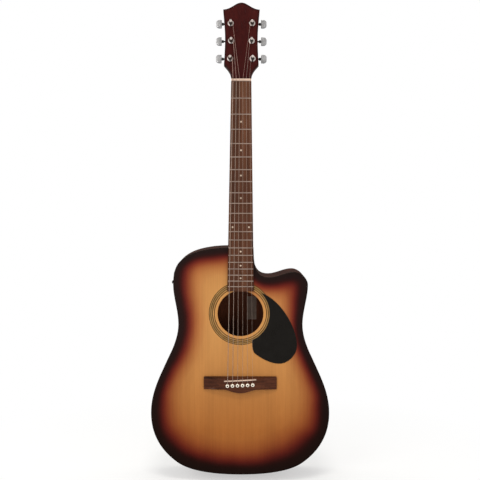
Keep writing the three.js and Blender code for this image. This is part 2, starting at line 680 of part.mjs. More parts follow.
// Each tuner is a closed housing behind the head, a post on a worm wheel, and a button on its worm.
function makeTuner(side, across, up, row) {
  const seat = new THREE.Group();
  seat.position.set(side * across, up, 0);
  head.add(seat);
  const place = `${side < 0 ? 'bass' : 'treble'}_${row + 1}`;
  const behind = -HEAD_THICK - GAP;

  const shell = join(
    box(-8, 8, -8.5, 13, WORM_DEEP - 5.5, behind),
    crossRod(0, side * 12.5, WORM_OFFSET, WORM_DEEP, 4, 8),
    disc(0, 0, 4.8, behind - 1, 1.5, 10),
    disc(0, 0, WASHER_R, GAP, 2, 16),
  );
  const housing = cut(
    shell,
    disc(0, 0, 3.5, WORM_DEEP - 3, 5, 10),
    disc(0, 0, 6.4, WORM_DEEP - 4, WORM_DEEP + 4, 12),
    crossRod(-side * 6.6, side * 6.9, WORM_OFFSET, WORM_DEEP, 3, 8),
    crossRod(0, side * 20, WORM_OFFSET, WORM_DEEP, 2.4, 8),
  );
  addPart(`tuner_housing_${place}`, housing, chrome, seat);

  const post = [
    [0, WORM_DEEP - 3.4], [5.6, WORM_DEEP - 3.4], [5.6, WORM_DEEP + 3.2], [3, WORM_DEEP + 3.4],
    [3, WINDING_MID - 2.6], [WINDING_R, WINDING_MID - 2.3], [WINDING_R, WINDING_MID + 2.3],
    [2.8, WINDING_MID + 2.6], [2.5, 11], [3, 13], [2.6, 14], [0, 14],
  ];
  addPart(`tuner_post_${place}`, turned(post, 10), chrome, seat);

  const reach = BUTTON_X - across;
  const key = plate(buttonOutline(side), -3, 3).translate(side * reach, WORM_OFFSET, WORM_DEEP);
  const inner = reach + BUTTON_INNER;
  const shaft = crossRod(0, side * (inner + 2), WORM_OFFSET, WORM_DEEP, 1.7, 10);
  const ferruleFrom = side * (inner - FERRULE_LONG);
  const ferrule = crossRod(ferruleFrom, side * (inner + 0.2), WORM_OFFSET, WORM_DEEP, 3.2, 10);
  const worm = crossRod(-side * 6.1, side * 6.2, WORM_OFFSET, WORM_DEEP, 2.2, 10);
  addPart(`tuner_button_${place}`, join(key, shaft, ferrule, worm), chrome, seat);
}

// A button seen from the front: square toward the head and rounded off on its outer side.
function buttonOutline(side) {
  const half = [
    [BUTTON_INNER, BUTTON_HALF - 1.5], [BUTTON_INNER + 1.4, BUTTON_HALF], [0.2, BUTTON_HALF],
    [4.1, BUTTON_HALF - 1.9], [BUTTON_OUTER, BUTTON_HALF - 6.1],
  ];
  const mirrored = half.map(([x, y]) => [x, -y]).reverse();
  return flatPoints([...half, ...mirrored].map(([x, y]) => [side * x, y]));
}

// ---- the preamp in the bass side ------------------------------------------------------------

function makePreamp() {
  const zone = box(-200, -100, PREAMP_Y - PREAMP_HALF, PREAMP_Y + PREAMP_HALF, PREAMP_BACK, PREAMP_FRONT);
  const skin = keep(band(-GAP - 1, -GAP, PREAMP_BACK, PREAMP_FRONT), zone);
  const doorGap = DOOR_HALF + GAP;
  const doorway = box(-200, -100, PREAMP_Y - doorGap, PREAMP_Y + doorGap, DOOR_BACK - GAP, DOOR_FRONT + GAP);
  const shaftHoles = KNOBS.map(([, z]) => crossRod(-160, -136, KNOB_Y, z, 2, 10));
  addPart('preamp_panel', cut(skin, doorway, ...shaftHoles), matteBlack);

  const doorZone = box(-200, -100, PREAMP_Y - DOOR_HALF, PREAMP_Y + DOOR_HALF, DOOR_BACK, DOOR_FRONT);
  addPart('battery_door', keep(skin, doorZone), matteBlack);

  const shell = join(box(-143.8, -90, PREAMP_Y - 12.5, PREAMP_Y + 12.5, -85, -18));
  const bay = box(-150, -92, PREAMP_Y - 9.2, PREAMP_Y + 9.2, -84, -56.5);
  addPart('preamp_case', cut(shell, bay, ...shaftHoles), matteBlack);

  const cell = join(
    box(-142.5, -94.8, PREAMP_Y - 8.7, PREAMP_Y + 8.7, -83.6, -57),
    crossRod(-96, -93, PREAMP_Y, -64, 2.9, 10),
    crossRod(-96, -93, PREAMP_Y, -76.6, 2.9, 10),
  );
  addPart('battery', cell, steel);

  KNOBS.forEach(([name, z]) => {
    const cap = crossRod(KNOB_FACE_X, -149, KNOB_Y, z, KNOB_R, 16);
    const shaft = crossRod(-150, -138, KNOB_Y, z, 1.6, 10);
    addPart(name, join(cap, shaft), matteBlack);
  });
}

// ---- the end jack, its lead and the strap button --------------------------------------------

function makeEndFittings() {
  const barrel = [
    [0, 30], [3.2, 28], [3.2, -JACK_PROUD], [8, -JACK_PROUD], [8.5, -11.4], [8.5, -9.8], [5.4, -7.5],
    [5.4, -2.6], [9, -1.6], [9, -GAP], [6, -GAP], [6, 38], [0, 38],
  ];
  const jack = turned(barrel, 14).rotateX(-Math.PI / 2).translate(0, 0, JACK_Z);
  addPart('end_jack', jack, chrome);

  const lead = [
    [0, 38.4, JACK_Z], [0, 46, JACK_Z], [-14, 56, -66], [-60, 72, -80], [-110, 96, -92],
    [-150, 128, -96], [-160, 170, -96], [-150, 220, -93], [-124, 290, -90], [-118, 350, -86],
    [-116, 400, -76], [-116, 419.1, -74],
  ];
  addPart('jack_lead', wire(lead, 1.4), rubber);

  const knob = [
    [0, -11.4], [6.4, -11.4], [6.4, -10], [3.6, -7], [4, -3], [6.2, -GAP], [1.5, -GAP], [1.5, 15],
    [0, 15],
  ];
  const button = turned(knob, 12).translate(0, STRAP_BUTTON_Y, 1 - DEPTH_AT_NECK);
  addPart('strap_button', button, chrome);
}

// ---- the whole guitar -----------------------------------------------------------------------

makeBody();
makeBracing();
makeRosetteAndGuard();
makeNeck();
makeFretboard();
makeHeadVeneer();
makeBridge();
makeStrings();
POST_SEATS.forEach(([x, y], row) => {
  makeTuner(-1, x, y, row);
  makeTuner(1, x, y, row);
});
makePreamp();
makeEndFittings();

// Stood upright: the tail is down, the top faces -y, and the depth is centred on y = 0.
const FRONT = SADDLE_TOP + GAP + STRING_DIAMETERS[2];
guitar.rotation.x = Math.PI / 2;
guitar.position.set(0, (FRONT - DEPTH_AT_TAIL) / 2, JACK_PROUD);

export default guitar;
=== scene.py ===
"""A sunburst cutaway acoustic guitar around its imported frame, on a pale studio floor."""
import math

import bmesh
import bpy
import numpy as np
from mathutils import Matrix, Vector
from mathutils.geometry import delaunay_2d_cdt


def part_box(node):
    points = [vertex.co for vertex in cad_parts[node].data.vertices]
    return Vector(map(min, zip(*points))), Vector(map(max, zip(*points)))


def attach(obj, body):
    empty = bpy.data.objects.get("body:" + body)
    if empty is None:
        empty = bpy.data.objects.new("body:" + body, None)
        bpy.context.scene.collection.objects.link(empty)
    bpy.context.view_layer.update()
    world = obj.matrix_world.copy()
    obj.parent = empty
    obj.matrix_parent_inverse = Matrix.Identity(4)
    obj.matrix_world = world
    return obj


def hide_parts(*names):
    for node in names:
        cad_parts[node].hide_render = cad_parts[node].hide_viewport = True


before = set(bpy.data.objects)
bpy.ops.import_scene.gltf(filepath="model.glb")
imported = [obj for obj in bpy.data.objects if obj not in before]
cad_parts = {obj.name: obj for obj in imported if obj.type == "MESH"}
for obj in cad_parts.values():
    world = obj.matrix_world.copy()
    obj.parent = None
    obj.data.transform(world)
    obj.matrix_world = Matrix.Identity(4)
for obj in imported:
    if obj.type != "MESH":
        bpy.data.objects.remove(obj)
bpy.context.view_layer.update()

MM = 0.001
# The gap, in millimetres, that is left between pieces glued together.
SEAM = 0.05

# ---- places taken from the frame --------------------------------------------------------------
# The guitar is drawn lying on its back, in millimetres: x across it with the treble side positive,
# y up the centre line from the tail end of the body, z out of the top, whose face is z = 0.

FACE_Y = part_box("top_plate")[0].y
TAIL_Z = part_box("top_plate")[0].z
NUT_Y = (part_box("nut")[0].z - TAIL_Z) / MM
BODY_LENGTH = (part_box("top_plate")[1].z - TAIL_Z) / MM
DEPTH_AT_TAIL = (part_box("back_plate")[1].y - FACE_Y) / MM
BOARD_END_Y = (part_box("fretboard")[0].z - TAIL_Z) / MM

SCALE = 648
FRET_COUNT = 20
DEPTH_AT_NECK = 100
BACK_TILT = math.atan2(DEPTH_AT_TAIL - DEPTH_AT_NECK, BODY_LENGTH)
PLATE = 3
RIB = 2.3
SOUNDHOLE = (0, 357.8)
SOUNDHOLE_R = 50
BOARD_BOTTOM = 0.3
BOARD_TOP = 6.8
BOARD_RADIUS = 400
HALF_NUT = 21.5
HALF_WIDENING = 0.01558
HEAD_TILT = math.radians(14)
HEAD_FACE_Z = 3.5
HEAD_START = 6
HEAD_THICK = 15
VENEER = 1.2
POST_SEATS = [(24.3, 52), (22.3, 93.1), (23.5, 134.2)]
POST_HOLE_R = 5.1
WORM_OFFSET = 8.3
WORM_DEEP = -21.5
BUTTON_X = 49.3
SADDLE_MID = (-0.2, 211.7)
SADDLE_WIDE = 2.8
SADDLE_SLANT = math.atan2(3.8, 70.6)
SADDLE_TOP = 12
BRIDGE_TOP = 9.3
PIN_PITCH = 11.06
PIN_MID = (-0.45, 200.7)
PIN_SLANT = 0.0415
STRING_DIAMETERS = [1.35, 1.07, 0.81, 0.61, 0.41, 0.31]
NUT_PITCH = 7.1
SADDLE_PITCH = 10.9
PREAMP_Y = 432
JACK_Z = -58
STRAP_BUTTON_Y = BODY_LENGTH + 8.6

BODY = Matrix(((MM, 0, 0, 0), (0, 0, -MM, FACE_Y), (0, MM, 0, TAIL_Z), (0, 0, 0, 1)))
IN_HEAD = Matrix.Translation((0, NUT_Y, HEAD_FACE_Z)) @ Matrix.Rotation(-HEAD_TILT, 4, "X")
HEAD = BODY @ IN_HEAD


def fret_y(number):
    return NUT_Y - SCALE * (1 - 2 ** (-number / 12))


def half_neck(y):
    return HALF_NUT + HALF_WIDENING * (NUT_Y - y)


def camber(x):
    return x * x / (2 * BOARD_RADIUS)


def string_across(i, pitch):
    return (i - 2.5) * pitch


# ---- camera, light and floor ------------------------------------------------------------------

CAMERA_AT = (-0.00155, -1.8617, 0.618)
CAMERA_DOWN = math.radians(2.76)
CAMERA_ROLL = math.radians(0.19)
LENS_MM = 62.3
SENSOR_MM = 36
SIGHT_END = 50

# What the world shows to each kind of ray: the first line is for all the others.
WORLD_SHARES = [
    ("other", (1, 0.97, 0.91), 0.34),
    ("Is Glossy Ray", (1, 0.97, 0.91), 0.10),
    ("Is Camera Ray", (1, 1, 1), 1.0),
]
LAMP_COLOUR = (1, 0.96, 0.89)
LAMPS = [
    ("key", (-1.6, -2.5, 1.8), (0, 0, 0.5), (1.4, 1.6), 32),
    ("fill", (1.9, -2.2, 0.9), (0, 0, 0.45), (1.4, 1.6), 18),
    ("top", (0, -2.2, 4.2), (0, 0, 0.5), (1.4, 1.0), 80),
    ("behind", (0, 0.9, 3.2), (0, 0, 0.4), (2.2, 1.6), 26),
    ("rim_left", (-2.0, 0.9, 1.2), (0, 0, 0.5), (0.8, 2.0), 14),
    ("rim_right", (2.0, 0.9, 1.2), (0, 0, 0.5), (0.8, 2.0), 7),
]
UNREFLECTED = {"fill", "top"}
FLOOR_REACH = 12
FLOOR_LEVEL = -0.004
FLOOR_NEAR = 0.1
FLOOR_FAR = 0.8
FLOOR_GLOW = 0.5


def new_object(name, data):
    made = bpy.data.objects.new(name, data)
    bpy.context.scene.collection.objects.link(made)
    return made


def make_camera():
    camera = new_object("camera", bpy.data.cameras.new("camera"))
    camera.data.lens = LENS_MM
    camera.data.sensor_width = SENSOR_MM
    camera.data.clip_end = SIGHT_END
    turn = Matrix.Rotation(math.pi / 2 - CAMERA_DOWN, 4, "X") @ Matrix.Rotation(CAMERA_ROLL, 4, "Z")
    camera.matrix_world = Matrix.Translation(CAMERA_AT) @ turn
    bpy.context.scene.camera = camera


def area_light(name, place, target, size, watts):
    light = bpy.data.lights.new(name, "AREA")
    light.shape = "RECTANGLE"
    light.size, light.size_y = size
    light.energy = watts
    light.color = LAMP_COLOUR
    lamp = new_object(name, light)
    lamp.location = place
    lamp.rotation_euler = (Vector(target) - Vector(place)).to_track_quat("-Z", "Y").to_euler()
    return lamp


def make_studio():
    scene = bpy.context.scene
    scene.view_settings.view_transform = "Standard"
    scene.view_settings.look = "None"
    world = bpy.data.worlds.new("studio")
    world.use_nodes = True
    tree = world.node_tree
    tree.nodes.clear()
    out = tree.nodes.new("ShaderNodeOutputWorld")
    last = None
    for ray, tint, strength in WORLD_SHARES:
        shade = tree.nodes.new("ShaderNodeBackground")
        shade.inputs["Color"].default_value = (*tint, 1)
        shade.inputs["Strength"].default_value = strength
        if last is None:
            last = shade
            continue
        mix = tree.nodes.new("ShaderNodeMixShader")
        tree.links.new(tree.nodes.new("ShaderNodeLightPath").outputs[ray], mix.inputs[0])
        tree.links.new(last.outputs[0], mix.inputs[1])
        tree.links.new(shade.outputs[0], mix.inputs[2])
        last = mix
    tree.links.new(last.outputs[0], out.inputs[0])
    scene.world = world
    for name, place, target, size, watts in LAMPS:
        area_light(name, place, target, size, watts).visible_glossy = name not in UNREFLECTED

    mesh = bpy.data.meshes.new("floor")
    far = FLOOR_REACH
    corners = [(-far, -far, 0), (far, -far, 0), (far, far, 0), (-far, far, 0)]
    mesh.from_pydata(corners, [], [(0, 1, 2, 3)])
    floor = new_object("floor", mesh)
    floor.location.z = FLOOR_LEVEL
    floor.visible_glossy = False
    floor.data.materials.append(floor_paint())


def floor_paint():
    """Pale matt paint round the guitar that fades into an evenly lit white sweep."""
    paint = Paint("floor_paint", Roughness=0.95)
    cloud = paint.noise((3, 3, 3), detail=3)
    paint.set("Base Color", paint.ramp(cloud, [(0.3, (0.9, 0.92, 0.95, 1)), (0.7, (0.93, 0.95, 0.98, 1))]))
    away = paint.add("VectorMath", operation="LENGTH")
    paint.join(paint.place(), away.inputs[0])
    sweep = paint.spread(away.outputs["Value"], FLOOR_NEAR, FLOOR_FAR, FLOOR_GLOW, 1.0)
    glow = paint.add("Emission")
    glow.inputs["Strength"].default_value = 1.0
    mix = paint.add("MixShader")
    paint.join(sweep, mix.inputs[0])
    paint.join(paint.shader.outputs[0], mix.inputs[1])
    paint.join(glow.outputs[0], mix.inputs[2])
    paint.join(mix.outputs[0], paint.tree.nodes["Material Output"].inputs["Surface"])
    return paint.material


# ---- materials --------------------------------------------------------------------------------

def srgb(red, green, blue):
    """Linear colour, with alpha, for a colour given on the 0 to 255 display scale."""
    def line(value):
        value /= 255
        return value / 12.92 if value <= 0.04045 else ((value + 0.055) / 1.055) ** 2.4
    return (line(red), line(green), line(blue), 1)


class Paint:
    """A node material with a principled shader, and short ways to add and join nodes."""

    def __init__(self, name, **constants):
        self.material = bpy.data.materials.new(name)
        self.material.use_nodes = True
        self.tree = self.material.node_tree
        self.shader = self.tree.nodes["Principled BSDF"]
        for socket, value in constants.items():
            self.shader.inputs[socket.replace("_", " ")].default_value = value

    def add(self, kind, **settings):
        node = self.tree.nodes.new("ShaderNode" + kind)
        for name, value in settings.items():
            setattr(node, name, value)
        return node

    def join(self, source, target):
        self.tree.links.new(source, target)

    def place(self, scale=(1, 1, 1), mirrored=False):
        """Object coordinates stretched by scale; mirrored makes both halves of the guitar alike."""
        where = self.add("TexCoord").outputs["Object"]
        if mirrored:
            parts = self.add("SeparateXYZ")
            self.join(where, parts.inputs[0])
            fold = self.math("ABSOLUTE", parts.outputs["X"])
            whole = self.add("CombineXYZ")
            self.join(fold, whole.inputs["X"])
            self.join(parts.outputs["Y"], whole.inputs["Y"])
            self.join(parts.outputs["Z"], whole.inputs["Z"])
            where = whole.outputs[0]
        stretch = self.add("Mapping")
        stretch.inputs["Scale"].default_value = scale
        self.join(where, stretch.inputs["Vector"])
        return stretch.outputs["Vector"]

    def height(self):
        """The height above the guitar's lowest point, in metres."""
        parts = self.add("SeparateXYZ")
        self.join(self.add("TexCoord").outputs["Object"], parts.inputs[0])
        return parts.outputs["Z"]

    def edge(self):
        """The mesh's own measure of the distance from its edge, in millimetres."""
        return self.add("Attribute", attribute_name="edge").outputs["Fac"]

    def noise(self, scale, detail=4, roughness=0.5, mirrored=False, distortion=0):
        node = self.add("TexNoise")
        node.inputs["Scale"].default_value = 1
        node.inputs["Detail"].default_value = detail
        node.inputs["Roughness"].default_value = roughness
        node.inputs["Distortion"].default_value = distortion
        self.join(self.place(scale, mirrored), node.inputs["Vector"])
        return node.outputs["Fac"]

    def math(self, operation, first, second=0.0):
        node = self.add("Math", operation=operation)
        for socket, value in zip(node.inputs, (first, second)):
            if isinstance(value, (int, float)):
                socket.default_value = value
            else:
                self.join(value, socket)
        return node.outputs[0]

    def ramp(self, value, stops):
        """stops is a list of (position, colour with alpha)."""
        node = self.add("ValToRGB")
        elements = node.color_ramp.elements
        while len(elements) < len(stops):
            elements.new(0.5)
        for element, (position, colour) in zip(elements, stops):
            element.position = position
            element.color = colour
        self.join(value, node.inputs["Fac"])
        return node.outputs["Color"]

    def spread(self, value, low, high, new_low, new_high):
        node = self.add("MapRange")
        names = ("From Min", "From Max", "To Min", "To Max")
        for name, number in zip(names, (low, high, new_low, new_high)):
            node.inputs[name].default_value = number
        self.join(value, node.inputs["Value"])
        return node.outputs["Result"]

    def mix(self, factor, first, second, blend="MIX"):
        node = self.add("Mix", data_type="RGBA", blend_type=blend)
        for socket, value in ((node.inputs[0], factor), (node.inputs[6], first), (node.inputs[7], second)):
            if isinstance(value, (int, float, tuple)):
                socket.default_value = value
            else:
                self.join(value, socket)
        return node.outputs[2]

    def bump(self, height, distance, strength):
        node = self.add("Bump")
        node.inputs["Strength"].default_value = strength
        node.inputs["Distance"].default_value = distance
        self.join(height, node.inputs["Height"])
        return node.outputs["Normal"]

    def set(self, socket, value):
        self.join(value, self.shader.inputs[socket])


MOTTLING = (60, 60, 60)
FINE_GRAIN = (900, 900, 900)


def plain(name, colour, roughness, metallic=0.0, speckle=0.04, coat=0.0, relief=0.00002):
    """A moulded, cast or polished surface: faint mottling, worn sheen and fine relief."""
    paint = Paint(name, Metallic=metallic, Coat_Weight=coat, Coat_Roughness=0.08, Specular_IOR_Level=0.3)
    cloud = paint.noise(MOTTLING, detail=5)
    light = tuple(min(1, c * (1 + speckle * 3)) for c in colour[:3]) + (1,)
    dark = tuple(c * (1 - speckle * 3) for c in colour[:3]) + (1,)
    paint.set("Base Color", paint.ramp(cloud, [(0.3, dark), (0.7, light)]))
    fine = paint.noise(FINE_GRAIN, detail=3)
    paint.set("Roughness", paint.spread(cloud, 0.3, 0.7, roughness * 0.85, roughness * 1.15))
    paint.set("Normal", paint.bump(fine, relief, 0.5))
    return paint.material


RIM_DARK = (0.006, 0.003, 0.003, 1)


def wood(name, dark, middle, light, roughness, across=260, along=7, mirrored=False, coat=0.0,
         pores=0.35, pore_relief=0.00006, shine=0.25, rim=None, shade=None, lying=False):
    """Straight-grained wood whose grain runs up the guitar: broad figure, fine lines and pores.

    The three colours are on the 0 to 255 display scale. rim darkens it toward its outline over so
    many millimetres; shade is two levels, in metres, from the dark one to the clear one; lying turns
    the grain across the guitar."""
    dark, middle, light = (srgb(*colour) for colour in (dark, middle, light))
    paint = Paint(name, Coat_Weight=coat, Coat_Roughness=0.06, Specular_IOR_Level=shine)

    def stretch(wide, long):
        return (long, wide, wide) if lying else (wide, wide, long)

    figure = paint.noise(stretch(across * 0.12, along * 0.4), 3, 0.5, mirrored, 0.4)
    lines = paint.noise(stretch(across, along), 6, 0.62, mirrored, 0.25)
    blend = paint.math("ADD", paint.math("MULTIPLY", figure, 0.5), paint.math("MULTIPLY", lines, 0.5))
    colour = paint.ramp(blend, [(0.34, dark), (0.5, middle), (0.66, light)])
    pore = paint.noise(stretch(across * 7, along * 9), 2, 0.5, mirrored)
    holes = paint.spread(pore, 0.30, 0.42, pores, 0.0)
    colour = paint.mix(holes, colour, tuple(c * 0.35 for c in dark[:3]) + (1,))
    if rim:
        colour = paint.mix(paint.spread(paint.edge(), 0.5, rim, 0.55, 0.0), colour, RIM_DARK)
    if shade:
        colour = paint.mix(paint.spread(paint.height(), *shade, 0.45, 0.0), colour, (0, 0, 0, 1))
    paint.set("Base Color", colour)
    paint.set("Roughness", paint.spread(lines, 0.3, 0.7, roughness * 1.15, roughness * 0.85))
    paint.set("Normal", paint.bump(pore, pore_relief, 0.35))
    return paint.material


# The burst's colour at each distance in from the edge, in millimetres.
BURST_STOPS = [
    (0, (27, 16, 14)), (8, (30, 16, 15)), (13, (34, 15, 14)), (16, (39, 14, 12)), (20, (54, 14, 11)),
    (24, (76, 19, 14)), (28, (95, 28, 18)), (32.5, (113, 43, 24)), (38.5, (132, 64, 34)),
    (46, (152, 88, 47)), (55, (167, 107, 58)), (70, (182, 127, 71)), (90, (189, 135, 76)),
]
BURST_REACH = 100
# How wide the burst was sprayed near places round the outline, against its usual width.
SPRAY_WIDTHS = [
    (-196, 138, 0.94), (196, 138, 0.92), (0, 0, 1.02), (-138, 27, 1.12), (138, 27, 1.38),
    (-185, 205, 0.71), (185, 205, 0.73), (-136, 334, 0.94), (136, 334, 0.74), (-147, 420, 0.9),
    (-113, 486, 0.7), (-50, 501, 0.8), (147, 420, 0.98), (117, 449, 0.94), (90, 444, 0.72),
    (35, 490, 0.7), (86, 388, 0.85), (110, 300, 0.74),
]
SPRAY_BLEND = 30
# Painted shade: the burst darkens down the lower bout, between these heights in metres.
LOW_SHADE_TINT = (0.67, 0.475, 0.295, 1)
LOWER_FROM = 0.33
LOWER_TO = 0.11
# The top is painted lighter round a spot between the soundhole and the bridge, within these distances in
# metres.
PALE_MID = (-2, 262)
PALE_REACH = (0.012, 0.062)
PALE_GAIN = 1.06


def spray_distance(points):
    """Each point's distance from the edge, rounded off as a spray gun would, over the width there."""
    p = np.array(points, float)
    start = np.array(OUTLINE, float)
    end = np.roll(start, -1, 0)
    middle, length = (start + end) / 2, np.linalg.norm(end - start, axis=1)
    square = ((p[:, None] - middle[None]) ** 2).sum(2)
    near = (length / np.maximum(square, 1) ** 2).sum(1) * 2 / math.pi
    places = np.array(SPRAY_WIDTHS, float)
    pull = 1 / (((p[:, None] - places[None, :, :2]) ** 2).sum(2) + SPRAY_BLEND ** 2) ** 2
    width = (pull * places[:, 2]).sum(1) / pull.sum(1)
    return near ** (-1 / 3) / width


def spruce_burst():
    """Bookmatched spruce under a burst that darkens through red to near black at the edge."""
    paint = Paint("spruce_burst", Coat_Weight=0.12, Coat_Roughness=0.05, Specular_IOR_Level=0.2)
    drift = paint.noise((9, 9, 9), 2)
    wander = paint.math("ADD", paint.edge(), paint.spread(drift, 0.3, 0.7, -2.5, 2.5))
    share = paint.math("DIVIDE", wander, BURST_REACH)
    stops = [(reach / BURST_REACH, srgb(*colour)) for reach, colour in BURST_STOPS]
    stain = paint.ramp(share, stops)

    # Painted shade: the burst is darkened more the lower it lies.
    low = paint.spread(paint.height(), LOWER_TO, LOWER_FROM, 1.0, 0.0)
    stain = paint.mix(low, stain, paint.mix(1.0, stain, LOW_SHADE_TINT, "MULTIPLY"))

    figure = paint.noise((17, 17, 1.5), 4, 0.55, True, 0.7)
    lines = paint.noise((620, 620, 5), 4, 0.6, True, 0.15)
    silk = paint.noise((140, 140, 45), 3, 0.5, True)
    tone = paint.math("ADD", paint.spread(figure, 0.3, 0.7, -0.085, 0.085),
                      paint.spread(lines, 0.3, 0.7, -0.075, 0.06))
    tone = paint.math("ADD", tone, paint.spread(silk, 0.3, 0.7, -0.02, 0.02))
    reach = paint.add("VectorMath", operation="DISTANCE")
    paint.join(paint.add("TexCoord").outputs["Object"], reach.inputs[0])
    reach.inputs[1].default_value = BODY @ Vector((*PALE_MID, 0))
    tone = paint.math("ADD", tone, paint.spread(reach.outputs["Value"], *PALE_REACH, PALE_GAIN, 1.0))
    grey = paint.add("CombineColor")
    for socket in grey.inputs:
        if socket.type == "VALUE":
            paint.join(tone, socket)
    paint.set("Base Color", paint.mix(1.0, stain, grey.outputs[0], "MULTIPLY"))
    paint.set("Roughness", paint.spread(drift, 0.3, 0.7, 0.34, 0.42))
    paint.set("Normal", paint.bump(lines, 0.00002, 0.25))
    return paint.material


# Painted shade: the windings are darker on the head, beyond the nut.
HEAD_SHADE_TINT = (0.86, 0.74, 0.76, 1)
HEAD_SHADE_BETWEEN = (NUT_Y * MM + TAIL_Z - 0.01, NUT_Y * MM + TAIL_Z + 0.01)


def wound_string(name, core, groove):
    """A string whose fine winding shows as bright and dark turns along it."""
    paint = Paint(name, Metallic=0.6, Roughness=0.45)
    turns = paint.add("TexWave", bands_direction="Z", wave_profile="SIN")
    turns.inputs["Scale"].default_value = 1
    turns.inputs["Distortion"].default_value = 0.2
    paint.join(paint.place((1, 1, 420)), turns.inputs["Vector"])
    colour = paint.ramp(turns.outputs["Fac"], [(0.1, groove), (0.7, core)])
    # Painted shade: the string is darkened beyond the nut.
    shaded_on_head = paint.mix(1.0, colour, HEAD_SHADE_TINT, "MULTIPLY")
    beyond_nut = paint.spread(paint.height(), *HEAD_SHADE_BETWEEN, 0.0, 1.0)
    paint.set("Base Color", paint.mix(beyond_nut, colour, shaded_on_head))
    paint.set("Normal", paint.bump(turns.outputs["Fac"], 0.00008, 0.6))
    return paint.material


# The back's inner face is dark below the first of these heights, in metres, and clear above the other.
INNER_SHADE = (0.325, 0.365)


def make_materials():
    return {
        "top": spruce_burst(),
        "side": wood("side_lacquer", (44, 20, 14), (63, 30, 21), (83, 42, 30), 0.4,
                     mirrored=True, coat=0.06, shine=0.14),
        "neck": wood("neck_lacquer", (32, 14, 11), (44, 20, 15), (60, 28, 20), 0.34, coat=0.15),
        "veneer": wood("head_lacquer", (46, 13, 13), (58, 18, 17), (70, 24, 22), 0.25,
                       across=180, pores=0.15, rim=6),
        "rosewood": wood("rosewood", (46, 24, 15), (83, 48, 31), (107, 68, 46), 0.55,
                         across=420, along=9, pores=0.6, pore_relief=0.0001),
        # Painted shade: darker rosewood for the board's shaded sides.
        "board_side_shade": wood("board_side_shade", (26, 14, 10), (44, 25, 17), (60, 36, 25), 0.55,
                           across=420, along=9, pores=0.4, pore_relief=0.0001),
        "bridge_wood": wood("bridge_rosewood", (44, 21, 13), (76, 40, 25), (98, 56, 37), 0.34,
                            across=300, along=18, pores=0.5, pore_relief=0.0001, shine=0.3, lying=True),
        "inner": wood("inner_wood", (96, 62, 38), (124, 82, 50), (150, 104, 66), 0.8,
                      across=300, along=12, pores=0.3),
        "inner_back": wood("inner_mahogany", (96, 51, 33), (107, 58, 37), (119, 66, 43), 0.8,
                           across=240, along=10, shade=INNER_SHADE),
        "inner_top": wood("inner_spruce", (116, 70, 36), (136, 86, 48), (154, 102, 60), 0.8,
                          across=500, along=6, pores=0.1),
        "chrome": plain("chrome", (0.78, 0.78, 0.79), 0.3, 1.0, 0.02, relief=0.000004),
        "satin": plain("satin_chrome", (0.70, 0.71, 0.74), 0.38, 0.7, 0.03, relief=0.000004),
        "washer": plain("washer_chrome", (0.77, 0.69, 0.665), 0.4, 0.5, 0.03, relief=0.000004),
        # Dark paint for the worm shafts, and painted shade in the washers' bores and under the posts.
        "dark_metal_and_shade": plain("dark_metal_and_shade", (0.05, 0.05, 0.05), 0.45, 0.6, 0.05),
        # Painted shade: dark metal standing in for the shaded posts and the windings on them.
        "shaded_post_metal": plain("shaded_post_metal", (0.13, 0.12, 0.11), 0.4, 0.7, 0.05),
        "pin_dot": plain("pin_dot", srgb(34, 24, 18), 0.4, 0, 0.04),
        "pin": plain("pin_plastic", srgb(244, 236, 222), 0.35, 0, 0.02, coat=0.2),
        "fret_metal": plain("fret_metal", (0.46, 0.36, 0.31), 0.45, 0.4, 0.05),
        "plain_wire": plain("plain_wire", (0.60, 0.48, 0.42), 0.4, 0.6, 0.03),
        "wound_wire": wound_string("wound_wire", (0.68, 0.53, 0.45, 1), (0.28, 0.19, 0.15, 1)),
        # Painted shade: a darker copy of the wound string for its turns on the posts.
        "wound_post_shade": wound_string("wound_post_shade", (0.17, 0.12, 0.09, 1), (0.05, 0.035, 0.03, 1)),
        "bone": plain("bone", srgb(200, 174, 157), 0.45, 0, 0.03, coat=0.1),
        "pearl": plain("pearl", srgb(196, 178, 160), 0.3, 0, 0.06, coat=0.2),
        "guard": plain("guard_plastic", srgb(22, 20, 18), 0.3, 0, 0.03, coat=0.3, relief=0.000006),
        "black": plain("black_plastic", srgb(22, 22, 23), 0.5, 0, 0.05),
        "knob": plain("knob_plastic", srgb(28, 28, 30), 0.45, 0, 0.05),
        "mark": plain("white_mark", srgb(214, 212, 206), 0.5, 0, 0.03),
        "rubber": plain("lead_rubber", srgb(20, 20, 20), 0.75, 0, 0.06),
        "steel": plain("rod_steel", (0.42, 0.41, 0.4), 0.42, 1.0, 0.08),
        "can": plain("battery_can", srgb(112, 116, 124), 0.4, 0.7, 0.05),
        "paper": plain("label_paper", srgb(152, 131, 119), 0.85, 0, 0.06),
        "ring_line": plain("rosette_line", srgb(30, 19, 9), 0.4, 0, 0.06, coat=0.1),
        "ring_band": plain("rosette_band", srgb(149, 112, 62), 0.4, 0, 0.07, coat=0.1),
        "ring_inner": plain("rosette_inner_band", srgb(174, 128, 72), 0.4, 0, 0.07, coat=0.1),
    }


# ---- shapes -----------------------------------------------------------------------------------

def bezier(start, *controls, steps=16):
    """Points along one cubic curve, without its first point."""
    points = np.array([start, *controls], float)
    t = np.linspace(0, 1, steps + 1)[1:, None]
    weights = [(1 - t) ** 3, 3 * t * (1 - t) ** 2, 3 * t * t * (1 - t), t ** 3]
    return [tuple(p) for p in sum(w * p for w, p in zip(weights, points))]


def trail(start, *legs, steps=16):
    """A route of straight legs (one point) and cubic legs (three points)."""
    points = [tuple(map(float, start))]
    for leg in legs:
        if len(leg) == 3:
            points += bezier(points[-1], *leg, steps=steps)
        else:
            points.append(tuple(map(float, leg[0])))
    return points


